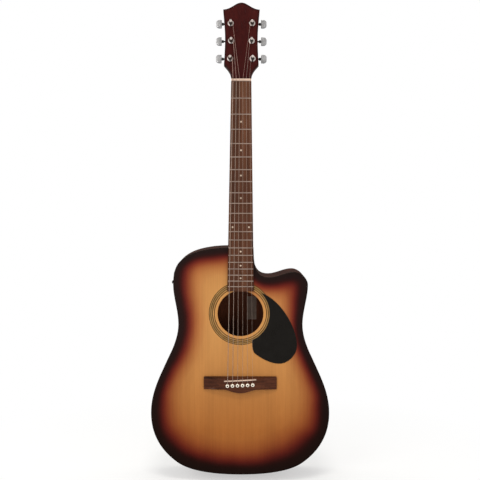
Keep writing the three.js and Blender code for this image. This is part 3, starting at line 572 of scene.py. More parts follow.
def arc(centre, radius, start, end, steps):
    """Points on an arc, both ends included; angles in degrees."""
    angles = np.radians(np.linspace(start, end, steps + 1))
    return [(centre[0] + radius * math.cos(a), centre[1] + radius * math.sin(a)) for a in angles]


def ring(centre, radius, steps=64):
    return arc(centre, radius, 0, 360, steps)[:-1]


def inset(points, distance):
    """A closed counter-clockwise outline moved inwards by distance."""
    p = np.array(points, float)
    into = p - np.roll(p, 1, 0)
    away = np.roll(p, -1, 0) - p
    into /= np.linalg.norm(into, axis=1)[:, None]
    away /= np.linalg.norm(away, axis=1)[:, None]
    square = np.stack([-into[:, 1], into[:, 0]], 1)
    middle = np.stack([-(into + away)[:, 1], (into + away)[:, 0]], 1)
    middle /= np.linalg.norm(middle, axis=1)[:, None]
    stretch = distance / np.maximum((middle * square).sum(1), 0.35)
    return p + middle * stretch[:, None]


def inside(points, outline):
    """Which points lie inside a closed outline."""
    p, o = np.array(points, float), np.array(outline, float)
    nxt = np.roll(o, -1, 0)
    result = np.zeros(len(p), bool)
    for (x0, y0), (x1, y1) in zip(o, nxt):
        if y0 == y1:
            continue
        crosses = (y0 > p[:, 1]) != (y1 > p[:, 1])
        result ^= crosses & (p[:, 0] < (x1 - x0) * (p[:, 1] - y0) / (y1 - y0) + x0)
    return result


def distance_to(points, outline):
    """The distance of each point from a closed outline."""
    p, a = np.array(points, float), np.array(outline, float)
    b = np.roll(a, -1, 0)
    best = np.full(len(p), 1e9)
    for start, end in zip(a, b):
        along = end - start
        t = np.clip(((p - start) @ along) / (along @ along), 0, 1)
        best = np.minimum(best, np.linalg.norm(p - start - t[:, None] * along, axis=1))
    return best


def cap(outer, holes, spacing=None):
    """Triangles that fill outer apart from its holes: (points, triangles), the loops' points first."""
    loops = [np.array(loop, float) for loop in (outer, *holes)]
    edges, start = [], 0
    for loop in loops:
        count = len(loop)
        edges += [(start + i, start + (i + 1) % count) for i in range(count)]
        start += count
    points = np.concatenate(loops)
    if spacing:
        low, high = loops[0].min(0), loops[0].max(0)
        xs = np.arange(low[0] + spacing / 2, high[0], spacing)
        ys = np.arange(low[1] + spacing / 2, high[1], spacing)
        grid = np.array([(x, y) for x in xs for y in ys])
        clear = inside(grid, loops[0]) & (distance_to(grid, loops[0]) > spacing * 0.45)
        for hole in loops[1:]:
            clear &= ~inside(grid, hole) & (distance_to(grid, hole) > spacing * 0.45)
        points = np.concatenate([points, grid[clear]])
    result = delaunay_2d_cdt([Vector(p) for p in points], edges, [], 0, 1e-6)
    found = np.array([tuple(v) for v in result[0]])
    triangles = np.array(result[2])
    centres = found[triangles].mean(1)
    keep = inside(centres, loops[0])
    for hole in loops[1:]:
        keep &= ~inside(centres, hole)
    return found, [tuple(int(i) for i in t) for t in triangles[keep]]


def slab(outer, z0, z1, holes=(), edge=0.3, spacing=None, soft=3):
    """A flat piece with rounded rims. outer runs counter-clockwise, and so does each hole."""
    mesh = bpy.data.meshes.new("slab")
    levels = []
    for k in range(soft + 1):
        turn = math.pi / 2 * k / soft
        levels.append((edge * (1 - math.sin(turn)), z0 + edge * (1 - math.cos(turn))))
    levels += [(depth, z1 + z0 - z) for depth, z in reversed(levels)]
    verts, faces = [], []
    loops = [(np.array(outer, float), 1)] + [(np.array(hole, float), -1) for hole in holes]
    first_level, last_level = [], []
    for loop, side in loops:
        count = len(loop)
        base = len(verts)
        for depth, z in levels:
            verts += [(x, y, z) for x, y in inset(loop, side * depth)]
        for k in range(len(levels) - 1):
            for i in range(count):
                a = base + k * count + i
                b = base + k * count + (i + 1) % count
                quad = (a, b, b + count, a + count)
                faces.append(quad if side > 0 else quad[::-1])
        first_level.append((base, count))
        last_level.append((base + (len(levels) - 1) * count, count))
    for rims, upward in ((first_level, False), (last_level, True)):
        rim_loops = [[verts[start + i][:2] for i in range(count)] for start, count in rims]
        index = [start + i for start, count in rims for i in range(count)]
        level = verts[rims[0][0]][2]
        points, triangles = cap(rim_loops[0], rim_loops[1:], spacing if upward else None)
        for x, y in points[len(index):]:
            index.append(len(verts))
            verts.append((x, y, level))
        for triangle in triangles:
            a, b, c = (index[i] for i in triangle)
            turn = np.cross(np.subtract(verts[b], verts[a])[:2], np.subtract(verts[c], verts[a])[:2])
            faces.append((a, b, c) if (turn > 0) == upward else (c, b, a))
    mesh.from_pydata(verts, [], faces)
    return mesh


def outward(mesh):
    """A closed mesh with its faces turned outwards."""
    shell = bmesh.new()
    shell.from_mesh(mesh)
    if shell.calc_volume(signed=True) < 0:
        mesh.flip_normals()
    shell.free()
    return mesh


def turned(profile, steps=40):
    """A turned piece about z. Its (radius, z) points start and end on the axis, or end where they start."""
    mesh = bpy.data.meshes.new("turned")
    verts, rows = [], []
    for radius, z in profile:
        if radius == 0:
            rows.append([len(verts)] * steps)
            verts.append((0, 0, z))
            continue
        rows.append(list(range(len(verts), len(verts) + steps)))
        angles = [2 * math.pi * i / steps for i in range(steps)]
        verts += [(radius * math.cos(a), radius * math.sin(a), z) for a in angles]
    faces = []
    for low, high in zip(rows, rows[1:]):
        for i in range(steps):
            j = (i + 1) % steps
            face = list(dict.fromkeys((low[i], low[j], high[j], high[i])))
            if len(face) > 2:
                faces.append(face)
    mesh.from_pydata(verts, [], faces)
    return outward(mesh)


def cylinder(radius, low, high, steps):
    return turned([(0, low), (radius, low), (radius, high), (0, high)], steps)


def loft(rings):
    """A skin through rings of equal point count, closed at both ends."""
    mesh = bpy.data.meshes.new("loft")
    count = len(rings[0])
    verts = [tuple(point) for one in rings for point in one]
    faces = []
    for k in range(len(rings) - 1):
        for i in range(count):
            a, b = k * count + i, k * count + (i + 1) % count
            faces.append((a, b, b + count, a + count))
    last = (len(rings) - 1) * count
    faces.append(tuple(range(count))[::-1])
    faces.append(tuple(range(last, last + count)))
    mesh.from_pydata(verts, [], faces)
    return outward(mesh)


def tube(points, radius, sides=10):
    """A round bar along a route, with its frame carried smoothly from point to point."""
    route = [Vector(p) for p in points]
    ahead = [(b - a).normalized() for a, b in zip(route, route[1:])]
    tangents = [ahead[0]] + [(a + b).normalized() for a, b in zip(ahead, ahead[1:])] + [ahead[-1]]
    side = tangents[0].orthogonal().normalized()
    rings = []
    for here, tangent in zip(route, tangents):
        side = (side - tangent * side.dot(tangent)).normalized()
        up = tangent.cross(side)
        angles = [2 * math.pi * i / sides for i in range(sides)]
        rings.append([here + (side * math.cos(a) + up * math.sin(a)) * radius for a in angles])
    return loft(rings)


def merged(*meshes):
    """Several meshes as one."""
    whole = bmesh.new()
    for mesh in meshes:
        whole.from_mesh(mesh)
    result = bpy.data.meshes.new("merged")
    whole.to_mesh(result)
    whole.free()
    return result


def moved(mesh, matrix):
    mesh.transform(matrix)
    return mesh


def shift(x, y, z):
    return Matrix.Translation((x, y, z))


def spin(axis, degrees):
    return Matrix.Rotation(math.radians(degrees), 4, axis)


def united(mesh, other, operation="UNION"):
    """Two closed meshes joined, or the second cut from the first."""
    objects = [new_object("shape", shape) for shape in (mesh, other)]
    step = objects[0].modifiers.new("boolean", "BOOLEAN")
    step.operation = operation
    step.solver = "EXACT"
    step.object = objects[1]
    graph = bpy.context.evaluated_depsgraph_get()
    result = bpy.data.meshes.new_from_object(objects[0].evaluated_get(graph))
    for made in objects:
        bpy.data.objects.remove(made)
    return result


# The part of the looks table that each paint belongs to.
SLOTS = {
    "top": "top_spruce", "side": "body_mahogany", "neck": "neck_mahogany", "veneer": "head_veneer",
    "guard": "pickguard", "pin_dot": "pickguard", "black": "black_plastic", "knob": "knob_plastic",
    "wound_wire": "string_bronze", "wound_post_shade": "string_bronze",
    **dict.fromkeys(("rosewood", "bridge_wood", "board_side_shade"), "rosewood"),
    **dict.fromkeys(("chrome", "satin", "washer", "dark_metal_and_shade", "shaded_post_metal"), "chrome"),
    **dict.fromkeys(("fret_metal", "plain_wire"), "string_steel"),
    **dict.fromkeys(("bone", "pearl", "pin", "mark", "paper"), "bone"),
    **dict.fromkeys(("ring_line", "ring_band", "ring_inner"), "rosette"),
}


def add_piece(name, mesh, paint, place=BODY, body="root", stands_for=(), smooth=35):
    """A visible piece, moved from the drawing into the row frame, riding on its body."""
    mesh.transform(place)
    mesh.name = name
    made = new_object(name, mesh)
    mesh.materials.clear()
    mesh.materials.append(MATERIALS[paint])
    mesh.shade_smooth()
    mesh.set_sharp_from_angle(angle=math.radians(smooth))
    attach(made, body)
    if stands_for:
        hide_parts(*stands_for)
    return made


def mark_edge(mesh, measure):
    """Keeps with each point of the mesh the distance that measure finds between it and the edge."""
    flat = [vertex.co[:2] for vertex in mesh.vertices]
    mesh.attributes.new("edge", "FLOAT", "POINT").data.foreach_set("value", measure(flat))


def paint_within(made, paint, is_inner):
    """A second paint for the faces that is_inner picks by their centre and normal."""
    made.data.materials.append(MATERIALS[paint])
    for face in made.data.polygons:
        face.material_index = int(is_inner(face.center, face.normal))


def dress(node, paint, bevel=0):
    """Gives a CAD node its finish, and rounds its edges if asked."""
    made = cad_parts[node]
    made.data.materials.clear()
    made.data.materials.append(MATERIALS[paint])
    if bevel:
        step = made.modifiers.new("edges", "BEVEL")
        step.width = bevel * MM
        step.segments = 2
        step.limit_method = "ANGLE"
        step.angle_limit = math.radians(40)


# ---- the body ---------------------------------------------------------------------------------

BODY_LEGS = [
    ((65.7, 0), (113.8, 9.1), (138.4, 27.2)),
    ((167.6, 48.6), (196.2, 81.6), (196.2, 138)),
    ((196.2, 215), (136, 272.2), (136, 333.8)),
    ((136, 364.2), (147.3, 393.6), (147.3, 420)),
    ((147.3, 436.2), (131.1, 449.3), (117, 449.3)),
    ((97.4, 449.3), (81.4, 437.5), (62, 437.5)),
    ((28.7, 437.5), (29.2, 469.6), (28, BODY_LENGTH)),
    ((-28.5, BODY_LENGTH),),
    ((-66.7, BODY_LENGTH), (-97.8, 494), (-113, 485.9)),
    ((-138.7, 472.2), (-147.3, 456.6), (-147.3, 420)),
    ((-147.3, 393.6), (-136, 364.2), (-136, 333.8)),
    ((-136, 272.2), (-196.2, 215), (-196.2, 138)),
    ((-196.2, 81.6), (-167.6, 48.6), (-138.4, 27.2)),
    ((-113.8, 9.1), (-65.7, 0), (0, 0)),
]
OUTLINE = trail((0, 0), *BODY_LEGS, steps=24)[:-1]
NECK_CORNER = min(range(len(OUTLINE)), key=lambda i: math.dist(OUTLINE[i], (28, BODY_LENGTH)))


def back_z(y, above=0):
    """The level of the tilted back's outer face, or so far above it."""
    return -DEPTH_AT_TAIL + above + y * math.tan(BACK_TILT)


def make_top():
    mesh = slab(OUTLINE, -PLATE, 0, [ring(SOUNDHOLE, SOUNDHOLE_R, 96)], edge=0.9, spacing=3.5, soft=4)
    mark_edge(mesh, spray_distance)
    made = add_piece("soundboard", mesh, "top", stands_for=["top_plate"], smooth=60)
    hole = BODY @ Vector((*SOUNDHOLE, 0))
    rim = (SOUNDHOLE_R + 0.3) * MM
    # The top's inner face is bare spruce; the soundhole's rounded rim takes the same darker paint, partly as
    # painted shade.
    paint_within(made, "inner_top", lambda centre, normal: normal.y > 0.5 or (
        math.hypot(centre.x - hole.x, centre.z - hole.z) < rim and normal.y > -0.8))


def make_back():
    mesh = slab(OUTLINE, 0, PLATE, edge=1.1, spacing=12, soft=4)
    for vertex in mesh.vertices:
        vertex.co.z += back_z(vertex.co.y)
    made = add_piece("back", mesh, "side", stands_for=["back_plate"], smooth=60)
    paint_within(made, "inner_back", lambda centre, normal: normal.y < -0.8)


def make_rib(name, outer, node, window=None):
    """One bent side, standing on the back and holding up the top, along an open run of the outline."""
    path = np.array(outer, float)
    ahead = np.gradient(path, axis=0)
    ahead /= np.linalg.norm(ahead, axis=1)[:, None]
    inner = path + np.stack([-ahead[:, 1], ahead[:, 0]], 1) * RIB
    rings = []
    for (x, y), (u, v) in zip(path, inner):
        low, high = back_z(y, PLATE + SEAM), -PLATE - SEAM
        rings.append([(x, y, low), (x, y, high), (u, v, high), (u, v, low)])
    shape = loft(rings)
    if window:
        shape = united(shape, window, "DIFFERENCE")
    made = add_piece(name, shape, "side", stands_for=[node], smooth=30)
    made.data.materials.append(MATERIALS["inner_back"])
    flat = [(face.center.x / MM, (face.center.z - TAIL_Z) / MM) for face in made.data.polygons]
    for face, depth in zip(made.data.polygons, distance_to(flat, OUTLINE)):
        face.material_index = int(depth > 0.8 * RIB)


# The hole in the bass side behind the preamp's panel.
WINDOW_X = (-160, -140)
WINDOW_HALF = 13
WINDOW_BACK = -85.3
WINDOW_FRONT = -17.7


def make_ribs():
    treble = [(SEAM, 0)] + OUTLINE[1:NECK_CORNER + 1] + [(SEAM, BODY_LENGTH)]
    bass = [(-SEAM, BODY_LENGTH)] + OUTLINE[NECK_CORNER + 1:] + [(-SEAM, 0)]
    make_rib("rib_treble", treble, "side_treble")
    edges = rounded_box(*WINDOW_X, PREAMP_Y - WINDOW_HALF, PREAMP_Y + WINDOW_HALF, 1)
    window = slab(edges, WINDOW_BACK, WINDOW_FRONT)
    make_rib("rib_bass", bass, "side_bass", window)


ROSETTE_BANDS = [
    (56.2, 57.7, "ring_line"), (57.7, 60.2, "ring_inner"), (60.2, 61.7, "ring_line"),
    (61.7, 64.3, "ring_band"), (64.3, 65.4, "ring_line"), (65.4, 68.1, "ring_band"),
    (68.1, 69.2, "ring_line"),
]


def make_rosette():
    for number, (inner, outer, paint) in enumerate(ROSETTE_BANDS, 1):
        mesh = slab(ring(SOUNDHOLE, outer, 96), -0.5, 0.04, [ring(SOUNDHOLE, inner, 96)], edge=0.02, soft=1)
        add_piece(f"rosette_ring_{number}", mesh, paint, stands_for=["rosette"] if number == 1 else ())


GUARD_TOP = (45, 403.5)
GUARD_FOOT = (25.9, 299.5)
GUARD_BEND_R = 63.9


def angle_at_hole(point):
    """The direction of a point from the soundhole's centre, in degrees."""
    return math.degrees(math.atan2(point[1] - SOUNDHOLE[1], point[0] - SOUNDHOLE[0]))


def make_pickguard():
    route = trail(
        GUARD_TOP,
        ((91.8, 386.6), (124, 323.2), (124, 288)),
        ((124, 267), (105.1, 247.6), (85, 247.6)),
        ((68, 247.6), (45, 258.5), (31, 271)),
        ((27.5, 275), (25.6, 283), GUARD_FOOT),
        steps=20,
    )
    route += arc(SOUNDHOLE, GUARD_BEND_R, angle_at_hole(GUARD_FOOT), angle_at_hole(GUARD_TOP), 36)[1:-1]
    mesh = slab(route[::-1], 0.1, 1.2, edge=0.35, spacing=8)
    add_piece("pickguard_sheet", mesh, "guard", stands_for=["pickguard"])


LABEL = (15, 37, 330, 384)


def make_label():
    left, right, foot, head = LABEL
    corners = [(left, foot), (right, foot), (right, head), (left, head)]
    mesh = slab(corners, 0, 0.2, edge=0.05, spacing=6, soft=1)
    for vertex in mesh.vertices:
        vertex.co.z += back_z(vertex.co.y, PLATE + SEAM)
    add_piece("inner_label", mesh, "paper")


# ---- the neck and the head --------------------------------------------------------------------

HEEL_LENGTH = 72
HEEL_CAP = 16
HEEL_SWEEP = 2.6
HEEL_SQUARER = 0.35
NECK_THICK = 14.5
NECK_THICK_LOW = 16.5
NECK_FULLNESS = 0.85
SLIM_BELOW_NUT = 20
# The sections that run on into the head: how far in, the top's level, how much thicker, the fullness.
INTO_HEAD = [(0, 0, 0.6, 0.75), (1, -1.6, 0.8, 0.7), (12, -5, 2.4, 0.65), (24, -8, 4.2, 0.6)]


def neck_section(y, half, top, bottom, fullness, steps=28):
    """The neck cut across at y: flat on top, and squarer below the smaller its fullness is."""
    ring_points = []
    for i in range(steps + 1):
        turn = math.pi * i / steps
        across = math.copysign(abs(math.cos(turn)) ** fullness, math.cos(turn))
        down = max(math.sin(turn), 0) ** fullness
        ring_points.append((across * half, y, top - (top - bottom) * down))
    return ring_points


def head_outline():
    right = trail(
        (21.3, HEAD_START),
        ((22.8, 15), (20.5, 21), (37.6, 39.6)),
        ((36.7, 54), (35.5, 78), (35.5, 95)),
        ((35.5, 118), (38.2, 146), (40, 167.1)),
        ((22.3, 167.6), (13.2, 183.6), (0, 183.6)),
        steps=18,
    )
    return right + [(-x, y) for x, y in right[-2::-1]]


def post_holes():
    return [ring((side * x, y), POST_HOLE_R, 32) for side in (-1, 1) for x, y in POST_SEATS]


def make_neck():
    foot = BODY_LENGTH + SEAM
    sections = []
    for far in [0, 8, HEEL_CAP, *range(HEEL_CAP + 1, HEEL_LENGTH, 2), HEEL_LENGTH]:
        rise = (1 - max(far - HEEL_CAP, 0) / (HEEL_LENGTH - HEEL_CAP)) ** HEEL_SWEEP
        bottom = -(NECK_THICK_LOW + (DEPTH_AT_NECK - 1 - NECK_THICK_LOW) * rise)
        fullness = NECK_FULLNESS - HEEL_SQUARER * rise
        sections.append(neck_section(foot + far, half_neck(foot + far), 0, bottom, fullness))
    slim = NUT_Y - SLIM_BELOW_NUT
    sections.append(neck_section(slim, half_neck(slim), 0, -NECK_THICK, NECK_FULLNESS))
    head_end = NUT_Y + HEAD_START
    for far, top, deeper, fullness in INTO_HEAD:
        sections.append(neck_section(head_end + far, HALF_NUT, top, -NECK_THICK - deeper, fullness))
    head = slab(head_outline(), -HEAD_THICK, -VENEER - 0.02, post_holes(), edge=1.2)
    wood_shape = united(loft(sections), moved(head, IN_HEAD))
    add_piece("neck_wood", wood_shape, "neck", stands_for=["neck"], smooth=50)


def make_veneer():
    mesh = slab(head_outline(), -VENEER, 0, post_holes(), edge=0.4, spacing=3)
    mark_edge(mesh, lambda flat: distance_to(flat, head_outline()))
    add_piece("head_face", mesh, "veneer", place=HEAD, stands_for=["head_veneer"])


# How far the board's edge stands out past the neck, and the width and depth of its rounding.
BOARD_FULL = 0.3
BOARD_ROUND = 0.8
BOARD_DROP = 1.0


def arch_ring(y, steps=12):
    """The fretboard cut across at y, with a cambered top and rounded edges."""
    half = half_neck(y) + BOARD_FULL
    brow = BOARD_TOP - camber(half)
    points = [(half, y, BOARD_BOTTOM), (half, y, brow - BOARD_DROP), (half - BOARD_ROUND, y, brow)]
    for i in range(1, steps):
        x = half * (1 - 2 * i / steps)
        points.append((x, y, BOARD_TOP - camber(x)))
    points += [(BOARD_ROUND - half, y, brow), (-half, y, brow - BOARD_DROP), (-half, y, BOARD_BOTTOM)]
    return points


def make_fretboard():
    stations = [BOARD_END_Y, *[fret_y(n) for n in range(FRET_COUNT, 0, -1)], NUT_Y - SEAM]
    mesh = loft([arch_ring(y) for y in stations])
    made = add_piece("fingerboard", mesh, "rosewood", stands_for=["fretboard"], smooth=30)
    # Painted shade: the board's sides are painted darker.
    paint_within(made, "board_side_shade", lambda centre, normal: abs(normal.x) > 0.5)


FRET_CROWN = [
    (-0.95, -0.4), (-0.95, 0.05), (-0.83, 0.45), (-0.55, 0.8), (-0.24, 0.97), (0, 1.0), (0.24, 0.97),
    (0.55, 0.8), (0.83, 0.45), (0.95, 0.05), (0.95, -0.4),
]
FRET_SHORT = 0.6


def make_frets():
    for number in range(1, FRET_COUNT + 1):
        y = fret_y(number)
        half = half_neck(y) - FRET_SHORT
        stops = [-half, -half + 0.7, *np.linspace(-half + 2.5, half - 2.5, 13), half - 0.7, half]
        rings = []
        for x in stops:
            high = 0.25 if abs(x) == half else 1
            level = BOARD_TOP - camber(x)
            rings.append([(x, y + dy, level + (dz if dz < 0.1 else 0.1 + (dz - 0.1) * high))
                          for dy, dz in FRET_CROWN])
        add_piece(f"fret_{number}", loft(rings), "fret_metal", smooth=60)


DOT_FRETS = [3, 5, 7, 9, 15, 17, 19]
DOT_R = 2.0
DOT_PROUD = 0.06
DOUBLE_DOT_X = 17.6


def make_dots():
    places = [(f"dot_{n}", 0, n) for n in DOT_FRETS]
    places += [("dot_12_bass", -DOUBLE_DOT_X, 12), ("dot_12_treble", DOUBLE_DOT_X, 12)]
    for name, x, number in places:
        y = (fret_y(number) + fret_y(number - 1)) / 2
        level = BOARD_TOP - camber(x) + DOT_PROUD
        profile = [(0, -1), (DOT_R, -1), (DOT_R, -0.02), (DOT_R - 0.1, 0), (0, 0)]
        add_piece(name, moved(turned(profile, 28), shift(x, y, level)), "pearl")


NUT_LONG = 5
NUT_END = NUT_LONG + 0.5
STRING_OVER_FRET = 0.5
STRING_FLOOR = BOARD_TOP + 1 + STRING_OVER_FRET


def make_nut():
    section = [
        (0, 0.1), (0, 6.9), (0.8, 8.2), (1.8, 9.1), (3.4, 8.9), (5.0, 8.2), (NUT_END, 7.4), (NUT_END, 0.1),
    ]
    rings = []
    for x in np.linspace(-HALF_NUT, HALF_NUT, 13):
        drop = camber(x)
        rings.append([(x, NUT_Y + along, z - (drop if z > 1 else 0)) for along, z in section])
    block = loft(rings[::-1])
    for i, diameter in enumerate(STRING_DIAMETERS):
        x = string_across(i, NUT_PITCH)
        level = STRING_FLOOR - camber(x) + diameter / 2
        groove = tube([(x, NUT_Y - 4, level), (x, NUT_Y + 9, level)], diameter / 2 + 0.08, 12)
        block = united(block, groove, "DIFFERENCE")
    add_piece("nut_block", block, "bone", stands_for=["nut"], smooth=35)


# ---- the bridge and the strings ---------------------------------------------------------------

BRIDGE_RISE = [(0, 9.3), (43, 9.3), (46, 9.0), (50, 7.6), (54, 6.0), (58, 5.0), (68, 3.9), (90, 3.4)]


def bridge_top(x):
    return float(np.interp(abs(x), *zip(*BRIDGE_RISE)))


BRIDGE_HALF = 80
BRIDGE_TAIL_Y = 191.3
BRIDGE_HEAD_Y = 219.3
BRIDGE_BELLY_Y = 183.6
BRIDGE_CORNER = 2.4


def make_bridge():
    end, tail, head, belly = BRIDGE_HALF, BRIDGE_TAIL_Y, BRIDGE_HEAD_Y, BRIDGE_BELLY_Y
    corner, soft = BRIDGE_CORNER, BRIDGE_CORNER / 3
    route = trail(
        (-39, tail),
        ((-25, tail), (-18, belly), (0, belly)),
        ((18, belly), (25, tail), (39, tail)),
        ((end - corner, tail),),
        ((end - soft, tail), (end, tail + soft), (end, tail + corner)),
        ((end, head - corner),),
        ((end, head - soft), (end - soft, head), (end - corner, head)),
        ((corner - end, head),),
        ((soft - end, head), (-end, head - soft), (-end, head - corner)),
        ((-end, tail + corner),),
        ((-end, tail + soft), (soft - end, tail), (corner - end, tail)),
        steps=10,
    )
    mesh = slab(route, SEAM, BRIDGE_TOP, edge=1.1, spacing=1.6, soft=4)
    for vertex in mesh.vertices:
        vertex.co.z *= bridge_top(vertex.co.x) / BRIDGE_TOP
    add_piece("bridge_body", mesh, "bridge_wood", stands_for=["bridge"], smooth=50)


SADDLE_HALF_LONG = 35.3


def make_saddle():
    rings = []
    for x in np.linspace(-SADDLE_HALF_LONG, SADDLE_HALF_LONG, 19):
        top = SADDLE_TOP - camber(x) - (0.7 if abs(x) > SADDLE_HALF_LONG - 0.3 else 0)
        half = SADDLE_WIDE / 2
        profile = [(-half, 4.7), (half, 4.7), (half, top - 0.7), (half * 0.6, top - 0.12), (0, top),
                   (-half * 0.6, top - 0.12), (-half, top - 0.7)]
        rings.append([(x, y, z) for y, z in profile])
    mesh = moved(loft(rings), shift(*SADDLE_MID, 0) @ Matrix.Rotation(SADDLE_SLANT, 4, "Z"))
    add_piece("saddle_strip", mesh, "bone", stands_for=["saddle"], smooth=50)


def pin_at(i):
    across = string_across(i, PIN_PITCH)
    return PIN_MID[0] + across, PIN_MID[1] + across * PIN_SLANT


def make_pins():
    seat = BRIDGE_TOP
    profile = [
        (0, -14), (1.6, -14), (2.3, seat - 1), (2.4, seat), (3.7, seat + 0.05), (4.0, seat + 0.5),
        (3.95, seat + 1.0), (3.5, seat + 1.8), (2.6, seat + 2.5), (1.4, seat + 2.9), (0, seat + 3.0),
    ]
    dot = [(0, seat + 2.2), (1.7, seat + 2.2), (1.7, seat + 2.9), (1.4, seat + 3.08), (0, seat + 3.14)]
    for i in range(6):
        place = shift(*pin_at(i), 0)
        add_piece(f"pin_{i + 1}", moved(turned(profile, 28), place), "pin",
                  stands_for=[f"bridge_pin_{i + 1}"], smooth=50)
        add_piece(f"pin_dot_{i + 1}", moved(turned(dot, 20), place), "pin_dot", smooth=50)


WOUND_STRINGS = 4
STRING_FROM_PIN = 4.6
BALL_DEEP = 8
BALL_BACK = 0.7
POST_R = 2.9
WRAP_LOW = 3.6
WRAP_HIGH = 7.6


def post_seat(i):
    """The side and the place of the post that winds string i, counted from the bass."""
    return (-1, *POST_SEATS[i]) if i < 3 else (1, *POST_SEATS[5 - i])


def string_end(i, radius):
    """Where string i swings round the outside of its winding, as points in the drawing."""
    side, across, up = post_seat(i)
    reach = POST_R + 3 * radius + 0.15
    points = []
    for turn in range(0, 200, 20):
        angle = math.radians(turn)
        x = side * (across - reach * math.cos(angle))
        points.append(IN_HEAD @ Vector((x, up + reach * math.sin(angle), WRAP_LOW + 1 + turn / 160)))
    return points


def string_route(i, radius):
    """String i's way up from its ball end, over the saddle and the nut, and round its winding."""
    pin_x, pin_y = pin_at(i)
    down = pin_y + STRING_FROM_PIN
    saddle_x = string_across(i, SADDLE_PITCH) + SADDLE_MID[0]
    saddle_y = SADDLE_MID[1] + (saddle_x - SADDLE_MID[0]) * math.tan(SADDLE_SLANT)
    saddle_z = SADDLE_TOP - camber(saddle_x) + radius
    nut_x = string_across(i, NUT_PITCH)
    nut_z = STRING_FLOOR - camber(nut_x) + radius
    half = SADDLE_WIDE / 2
    return [
        (pin_x, down, -PLATE - BALL_DEEP),
        (pin_x, down, BRIDGE_TOP - 1.2),
        (pin_x, down + 0.15, BRIDGE_TOP - 0.3),
        (pin_x, down + 0.7, BRIDGE_TOP + 0.3),
        (saddle_x, saddle_y - half - 0.5, saddle_z - 0.45),
        (saddle_x, saddle_y - half * 0.4, saddle_z + 0.03),
        (saddle_x, saddle_y + half * 0.5, saddle_z),
        (nut_x, NUT_Y, nut_z),
        (nut_x, NUT_Y + 2.5, nut_z - 0.1),
        (nut_x, NUT_Y + NUT_LONG - 0.6, nut_z - 0.5),
        *string_end(i, radius),
    ]


def make_strings():
    for i, diameter in enumerate(STRING_DIAMETERS):
        route = string_route(i, diameter / 2)
        x, y, z = route[0]
        ball = moved(cylinder(1.9, -3.6, 0, 16), shift(x, y - BALL_BACK, z))
        mesh = merged(tube(route, diameter / 2, 12), ball)
        number = 6 - i
        add_piece(f"wire_{number}", mesh, "wound_wire" if i < WOUND_STRINGS else "plain_wire",
                  stands_for=[f"string_{number}"], smooth=60)


# ---- the tuners -------------------------------------------------------------------------------

# Painted shade: the washer is painted dark in its bore, and in the narrow strip below the post where the
# post's shadow falls.
WASHER_BORE = 3.9
WASHER_SHADE = 1.3
TIP_LOW = 12.3
WRAP_STEPS = 20
WRAPS_AT_MOST = 5
BUTTON_BACK = 6


def make_washer(place, seat):
    profile = [
        (3.6, -1), (5.0, -1), (5.0, 0.02), (6.5, 0.02), (6.7, 0.3), (6.6, 1.2), (6.1, 1.8), (5.4, 2.1),
        (4.3, 2.1), (3.9, 1.7), (3.8, 0.6), (3.6, 0.5), (3.6, -1),
    ]
    made = add_piece(f"washer_{place}", turned(profile, 40), "washer", place=seat, smooth=30)
    home = seat.inverted()

    def in_bore_or_below(centre, normal):
        spot = home @ centre
        return spot.xy.length < WASHER_BORE or (spot.y < 0 and abs(spot.x) < WASHER_SHADE)

    paint_within(made, "dark_metal_and_shade", in_bore_or_below)


def on_worm(side):
    """Where a piece turned about z goes to lie on the worm's line, which runs out to that side."""
    return shift(0, WORM_OFFSET, WORM_DEEP) @ spin("Y", 90 * side)


def make_gear_case(place, seat, side):
    """The housing: a box with a collar for the shaft and a bush through the head, bored for the gears."""
    behind = -HEAD_THICK
    shell = slab([(8, -8.5), (8, 13), (-8, 13), (-8, -8.5)], WORM_DEEP - 5.5, behind - 0.02, edge=1.4, soft=4)
    collar = moved(turned([(0, 7), (4, 7), (4, 11.6), (3.6, 12.5), (0, 12.5)], 28), on_worm(side))
    bush = cylinder(4.8, behind - 1, 0, 28)
    shape = united(united(shell, collar), bush)
    for radius, low, high in ((3.5, WORM_DEEP - 3, 5), (6.4, WORM_DEEP - 4, WORM_DEEP + 4)):
        shape = united(shape, cylinder(radius, low, high, 32), "DIFFERENCE")
    for radius, low, high in ((3, -6.6, 6.9), (2.3, 0, 20)):
        shape = united(shape, moved(cylinder(radius, low, high, 24), on_worm(side)), "DIFFERENCE")
    add_piece(f"gear_case_{place}", shape, "chrome", place=seat,
              stands_for=[f"tuner_housing_{place}"], smooth=40)


def make_post(place, seat):
    """The post with its worm wheel; its shaft is painted dark as shade, and its tip has the washer's bright
    finish.
    """
    profile = [
        (0, WORM_DEEP - 3.4), (5.6, WORM_DEEP - 3.4), (5.6, WORM_DEEP + 3.2), (3, WORM_DEEP + 3.4),
        (3, 3), (POST_R, 3.2), (POST_R - 0.2, 5.6), (POST_R, 8), (POST_R, 9), (2.5, 9.6), (2.5, 11.4),
        (3.0, 12.2), (3.0, 13.4), (2.6, 14), (1.2, 14), (1.0, 13.4), (0, 13.4),
    ]
    made = add_piece(f"capstan_{place}", turned(profile, 32), "shaded_post_metal", place=seat,
                     body=f"post_{place}", stands_for=[f"tuner_post_{place}"], smooth=40)
    home = seat.inverted()
    paint_within(made, "washer", lambda centre, normal: (home @ centre).z > TIP_LOW)


